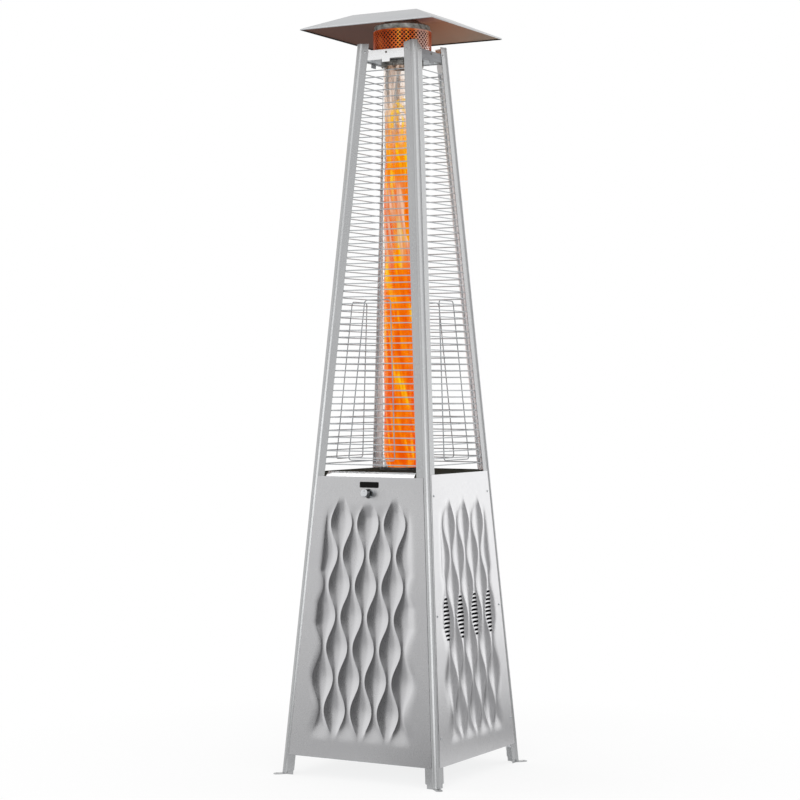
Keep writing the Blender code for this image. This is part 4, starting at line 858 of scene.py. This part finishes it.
def screen_data():
    """Staggered diamonds with open middles, and a plain band above and below them."""
    low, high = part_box("emitter_screen")[0].z, SCREEN_TOP
    half_column = math.pi / SCREEN_COLUMNS
    rows = round((high - low) / (half_column * SCREEN_RADIUS))
    step = (high - low) / rows
    # The open share of a diamond, and a band's height in rows.
    hole, band = 0.68, 0.9
    bm = bmesh.new()

    def at(column, row):
        angle = column * half_column
        x, y = SCREEN_RADIUS * math.cos(angle), SCREEN_RADIUS * math.sin(angle)
        return bm.verts.new((x, y, low + step * row))

    for row in range(1, rows):
        for column in range(row % 2, 2 * SCREEN_COLUMNS, 2):
            around = ((1, 0), (0, 1), (-1, 0), (0, -1))
            outer = [at(column + u, row + v) for u, v in around]
            inner = [at(column + u * hole, row + v * hole) for u, v in around]
            for k in range(4):
                n = (k + 1) % 4
                bm.faces.new((outer[k], outer[n], inner[n], inner[k]))
    for first, last in ((0, band), (rows - band, rows)):
        for column in range(2 * SCREEN_COLUMNS):
            bm.faces.new((at(column, first), at(column + 1, first), at(column + 1, last), at(column, last)))
    return finished("screen", bm, mend=False)


place_piece("perforated_emitter", screen_data(), [screen_glow, back_scale_and_shade], ["emitter_screen"],
            sheet=0.0008)

cap_low, cap_high = SCREEN_TOP + 0.0003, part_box("emitter_cap")[1].z
CAP_OUTLINE = [
    (0, cap_high), (0.0415, cap_high), (0.0445, cap_high - 0.0010), (0.0560, cap_high - 0.0095),
    (0.0795, cap_high - 0.0192), (0.0820, cap_high - 0.0212), (0.0825, cap_high - 0.0235),
    (0.0825, cap_low + 0.003), (0.0832, cap_low + 0.0012), (0.0855, cap_low + 0.001),
    (0.0860, cap_low + 0.0005), (0.0856, cap_low), (0.0815, cap_low), (0.0812, cap_low + 0.003),
    (0.0812, cap_high - 0.0235), (0.0795, cap_high - 0.0208), (0.0552, cap_high - 0.0108),
    (0.0440, cap_high - 0.0022), (0, cap_high - 0.0012),
]
place_piece("spun_cap", turned("cap", CAP_OUTLINE), [hot_chrome], ["emitter_cap"], crease=25)
# A thin dark disc of painted shade closes the cap's foot, so that the emitter's holes show dark instead of
# the cap's bright inside.
low, high = SCREEN_TOP - 0.0014, SCREEN_TOP - 0.0004
baffle = [(0, low), *eased(0.0808, 0.0, low, high, 0.0002)[2:6], (0, high)]
place_piece("cap_baffle", turned("baffle", baffle), [back_scale_and_shade], ())


# The hood: one sheet with bent hips, a turned-down rim and an underside stained by heat, with painted shade.

def hood_data():
    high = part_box("hood")[1].z
    rim = high - HOOD_DROP
    levels = [(0.104, high, 0.002), (0.1072, high - 0.0002, 0.002), (0.1092, high - 0.0009, 0.0022)]
    levels += [(0.2172, rim + 0.0014, 0.003), (0.2194, rim + 0.0002, 0.003), (0.2205, rim - 0.0012, 0.003)]
    levels += [(0.2205, rim - HOOD_HEM, 0.003)]
    bm = bmesh.new()
    bm.faces.new(square_rings(bm, levels)[0])
    return finished("hood", bm, mend=False)


place_piece("bent_hood", hood_data(), [hood_steel, underside], ["hood"], sheet=0.001, crease=30)


# The deck: one sheet, nearly flat, that rounds over into a short skirt.

def deck_data():
    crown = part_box("deck_plate")[1].z
    edge = half_at(crown - 0.016) + INSIDE_FACE
    levels = [(DECK_HOLE, crown, DECK_HOLE), (edge - 0.032, crown - 0.0002, 0.030)]
    levels += [(edge - 0.018, crown - 0.0009, 0.022), (edge - 0.010, crown - 0.003, 0.016)]
    levels += [(edge - 0.005, crown - 0.008, 0.012), (edge, crown - 0.016, 0.010)]
    levels += [(half_at(crown - DECK_SKIRT) + INSIDE_FACE, crown - DECK_SKIRT, 0.010)]
    bm = bmesh.new()
    square_rings(bm, levels)
    return finished("deck", bm, mend=False)


place_piece("round_deck", deck_data(), [stove_enamel], ["deck_plate"], sheet=0.0012)


# The flame: three wavering sheets of burning gas, one inside another, and a pale haze about their upper half.

def flame_data(seed, low, high, radius, sway):
    """A wavering tongue that widens from its root, narrows at a waist and closes at its tip."""
    rows, steps = 110, 40
    bm = bmesh.new()
    grid = []
    for row in range(rows + 1):
        share = row / rows
        z = low + (high - low) * share
        root = min(1, 0.80 + share * 6)
        tip = min(1, (1 - share) / 0.05) ** 0.6
        waist = 1 - 0.12 * math.exp(-((z - 1.86) / 0.09) ** 2)
        swell = root * tip * waist
        lean_x, lean_y = sway * math.sin(7 * z + seed), sway * math.cos(6 * z + seed)
        ring = []
        for step in range(steps):
            angle = 2 * math.pi * step / steps
            lobe = 0.05 * math.sin(2 * angle + 9 * z + seed) + 0.04 * math.sin(3 * angle - 14 * z + 2 * seed)
            spot = Vector((2.2 * math.cos(angle), 2.2 * math.sin(angle), 9 * z + 5 * seed))
            flutter = 0.14 * noise.noise(spot) * (0.3 + share)
            reach = radius * swell * (1.0 + lobe * (0.5 + share) + flutter)
            reach = max(0.0004, min(reach, radius))
            x, y = lean_x + reach * math.cos(angle), lean_y + reach * math.sin(angle)
            ring.append(bm.verts.new((x, y, z)))
        grid.append(ring)
    for lower, upper in zip(grid, grid[1:]):
        bridge(bm, lower, upper)
    return finished(f"flame_{seed}", bm, mend=False)


for name, finish, seed, low, high, radius, sway in (
    ("flame_haze", pale_flame, 2, 1.45, 2.10, 0.0555, 0.0),
    ("flame_outer", outer_flame, 1, 0.89, 1.99, 0.0550, 0.0),
    ("flame_middle", inner_flame, 4, 0.89, 1.97, 0.042, 0.004),
    ("flame_core", inner_flame, 7, 0.89, 1.78, 0.024, 0.010),
):
    sheet = place_piece(name, flame_data(seed, low, high, radius, sway), [finish], ())
    # Daylight drowns the flame's reflections on the metal round it.
    sheet.visible_glossy = sheet.visible_diffuse = False


# Better finishes for the CAD pieces that stay.
KEPT = {
    **{f"foot_{corner}": post_steel for corner in CORNERS},
    "top_bar_front": bar_steel_x, "top_bar_back": bar_steel_x,
    "top_bar_right": bar_steel_y, "top_bar_left": bar_steel_y,
    "top_plate": zinc_sheet, "cylinder_tray": zinc_sheet, "valve_bracket": zinc_sheet,
    "gas_valve": zinc_sheet, "burner_pan": scaled_steel, "burner_head": scaled_steel,
    "pilot_burner": brass, "thermocouple": brass, "gas_inlet": brass, "gas_pipe": brass, "valve_stem": brass,
    "stem_sleeve": chrome, "piezo_igniter": powder_coat, "tilt_switch": powder_coat,
    "ignition_electrode": ceramic, "magnet_left": ferrite, "magnet_right": ferrite,
    **{f"hood_{part}_{k}": chrome for part in ("stud", "nut") for k in (1, 2, 3)},
}
BEVELLED = ("foot", "top_bar", "top_plate", "cylinder_tray", "valve_bracket")
for node, finish in KEPT.items():
    obj = frame["nodes"][node]
    for slot in obj.material_slots:
        slot.material = finish
    if node.startswith(BEVELLED):
        bevel = obj.modifiers.new("edge", "BEVEL")
        bevel.width, bevel.segments, bevel.limit_method = 0.0003, 2, "ANGLE"
        bevel.angle_limit = math.radians(40)


# Floor, background and lights.

WHITE = colour("#ffffff")


def direct_view(tree):
    """1 for the rays that look at a thing: from the camera, off a mirror or through glass."""
    rays = add(tree, "LightPath")
    most = {"operation": "MAXIMUM"}
    seen = add(tree, "Math", most, {0: (rays, "Is Camera Ray"), 1: (rays, "Is Glossy Ray")})
    return add(tree, "Math", most, {0: (seen, "Value"), 1: (rays, "Is Transmission Ray")})


def studio_floor():
    """Pale seamless paper: near the heater it takes the shadow, further off it is the background's white."""
    paper = {"Base Color": colour("#f4f4f4"), "Roughness": 0.9, "Specular IOR Level": 0.1}
    finish, tree, shader, place = begin("white_paper_floor", paper)
    away = add(tree, "VectorMath", {"operation": "LENGTH"}, {0: (place, "Object")})
    # Its fibres are 2.5 mm long.
    fibres = add(tree, "TexNoise", {"Scale": 1000 / 2.5}, {"Vector": (place, "Object")})
    bump = add(tree, "Bump", {"Strength": 0.05, "Distance": 0.0002}, {"Height": (fibres, "Fac")})
    tree.links.new(bump.outputs["Normal"], shader.inputs["Normal"])
    reach = add(tree, "MapRange", {"From Min": 0.5, "From Max": 1.5, "To Min": 0.80, "To Max": 1.0},
                {"Value": (away, "Value")})
    seen = direct_view(tree)
    share = add(tree, "Math", {"operation": "MULTIPLY"}, {0: (seen, "Value"), 1: (reach, "Result")})
    white = add(tree, "Emission", {"Color": WHITE, "Strength": 1.0})
    both = add(tree, "MixShader", {}, {0: (share, "Value"), 1: (shader, "BSDF"), 2: (white, "Emission")})
    tree.links.new(both.outputs["Shader"], tree.nodes["Material Output"].inputs["Surface"])
    return finish


def flat_sheet(name, corners, finish):
    bm = bmesh.new()
    bm.faces.new([bm.verts.new(corner) for corner in corners])
    obj = bpy.data.objects.new(name, finished(name, bm, mend=False))
    obj.data.materials.append(finish)
    bpy.context.scene.collection.objects.link(obj)
    return obj


flat_sheet("floor", ((-30, -30, 0), (30, -30, 0), (30, 30, 0), (-30, 30, 0)), studio_floor())


# Polished metal is photographed with cards round it, which draw the dark flanks of its curves.

def grey_card(name, corners, dark="#626263", light="#6a6a6b"):
    """A matt card that only reflections show, with its pulp in faint clouds some 30 mm across."""
    finish, tree, shader, spot = begin(f"matt_{name}", {"Roughness": 1.0, **MATT})
    pulp = add(tree, "TexNoise", {"Scale": 1000 / 33.33}, {"Vector": (spot, "Object")})
    tone = add(tree, "ValToRGB", {"stops": ((0.3, dark), (0.7, light))}, {"Fac": (pulp, "Fac")})
    tree.links.new(tone.outputs["Color"], shader.inputs["Base Color"])
    card = flat_sheet(name, corners, finish)
    card.visible_camera = card.visible_diffuse = card.visible_transmission = card.visible_shadow = False


def on_floor(turn, distance):
    """A point of the floor in the direction that a turn to the right of the front gives."""
    turn = math.radians(turn)
    return Vector((distance * math.sin(turn), -distance * math.cos(turn), 0.002))


def standing_card(name, first, last, distance, height, *tones):
    low = [on_floor(turn, distance) for turn in (first, last)]
    grey_card(name, [*low, *(spot + Vector((0, 0, height)) for spot in low[::-1])], *tones)


def lying_card(name, first, last, near, far, *tones):
    spots = ((first, near), (first, far), (last, far), (last, near))
    grey_card(name, [on_floor(turn, distance) for turn, distance in spots], *tones)


# The front panel mirrors the front card, the lying card and the cloth. The right panel mirrors the others:
# the pale ones in flanks that turn forward, the low one straight on, the dark one in flanks that turn back.
standing_card("front_card", -13, 64, 6.0, 2.4)
standing_card("back_card", 98, 137, 3.5, 2.9, "#b6b6b7", "#bebebf")
lying_card("lying_card", -13, 64, 0.55, 6.0)
lying_card("low_card", 137, 157, 0.9, 2.1, "#969697", "#9e9e9f")
lying_card("corner_card", 157, 236, 0.9, 3.5, "#333334", "#3a3a3b")
lying_card("side_card", 98, 137, 0.9, 3.5, "#b0b0b1", "#b8b8b9")
lying_card("pale_cloth", -43, -13, 0.6, 9, "#b0b0b1", "#b6b6b7")


def softbox(name, place, aim, width, height, level, lit=None):
    """A lamp whose face has this brightness, where 1 is white; it may light some pieces only."""
    lamp = bpy.data.lights.new(name, "AREA")
    lamp.shape, lamp.size, lamp.size_y = "RECTANGLE", width, height
    lamp.energy = level * math.pi * width * height
    obj = bpy.data.objects.new(name, lamp)
    obj.location = place
    obj.rotation_euler = (Vector(aim) - Vector(place)).to_track_quat("-Z", "Y").to_euler()
    obj.visible_camera = False
    bpy.context.scene.collection.objects.link(obj)
    if lit:
        obj.light_linking.receiver_collection = lit


# The cards are meant for the pressed panels, so two front lamps make up for them on most other pieces.
others = bpy.data.collections.new("other_pieces")
for obj in bpy.context.scene.objects:
    if obj.type == "MESH" and not any(word in obj.name for word in ("panel", "knob", "flame", "loop")):
        others.objects.link(obj)
softbox("softbox_left", (-4.2, -2.3, 1.7), (0, 0, 0.9), 3.4, 3.4, 0.30)
softbox("softbox_back", (1.5, 4.9, 1.7), (0, 0, 0.9), 5.2, 3.4, 0.70)
softbox("softbox_overhead", (-2.2, 0.1, 4.6), (0, 0, 0.9), 2.6, 2.6, 0.9)
softbox("softbox_front", (2.0, -3.1, 1.9), (0, 0, 1.1), 4.4, 3.4, 0.95, others)
softbox("strip_light", (0.98, -3.4, 0.70), (0, 0, 0.60), 3.4, 1.9, 1.9, others)

world = bpy.data.worlds.new("studio")
bpy.context.scene.world = world
world.use_nodes = True
tree = world.node_tree
tree.nodes.clear()
# White where it is seen, and a little less as a light.
level = add(tree, "MapRange", {"To Min": 0.80, "To Max": 1.0}, {"Value": (direct_view(tree), "Value")})
sky = add(tree, "Background", {"Color": WHITE}, {"Strength": (level, "Result")})
add(tree, "OutputWorld", {}, {"Surface": (sky, "Background")})

scene = bpy.context.scene
scene.view_settings.view_transform = "Standard"

# The photograph was taken from the right of the front, with the camera level.
CAMERA_TURN = math.radians(29.37)
CAMERA_AWAY = 6.175
camera = bpy.data.objects.new("camera", bpy.data.cameras.new("camera"))
scene.collection.objects.link(camera)
camera.location = (CAMERA_AWAY * math.sin(CAMERA_TURN), -CAMERA_AWAY * math.cos(CAMERA_TURN), 1.124)
camera.rotation_euler = (QUARTER, 0, CAMERA_TURN)
camera.data.sensor_width, camera.data.lens = 36.0, 93.87
camera.data.shift_x, camera.data.shift_y = -0.003, -0.0153
scene.camera = camera
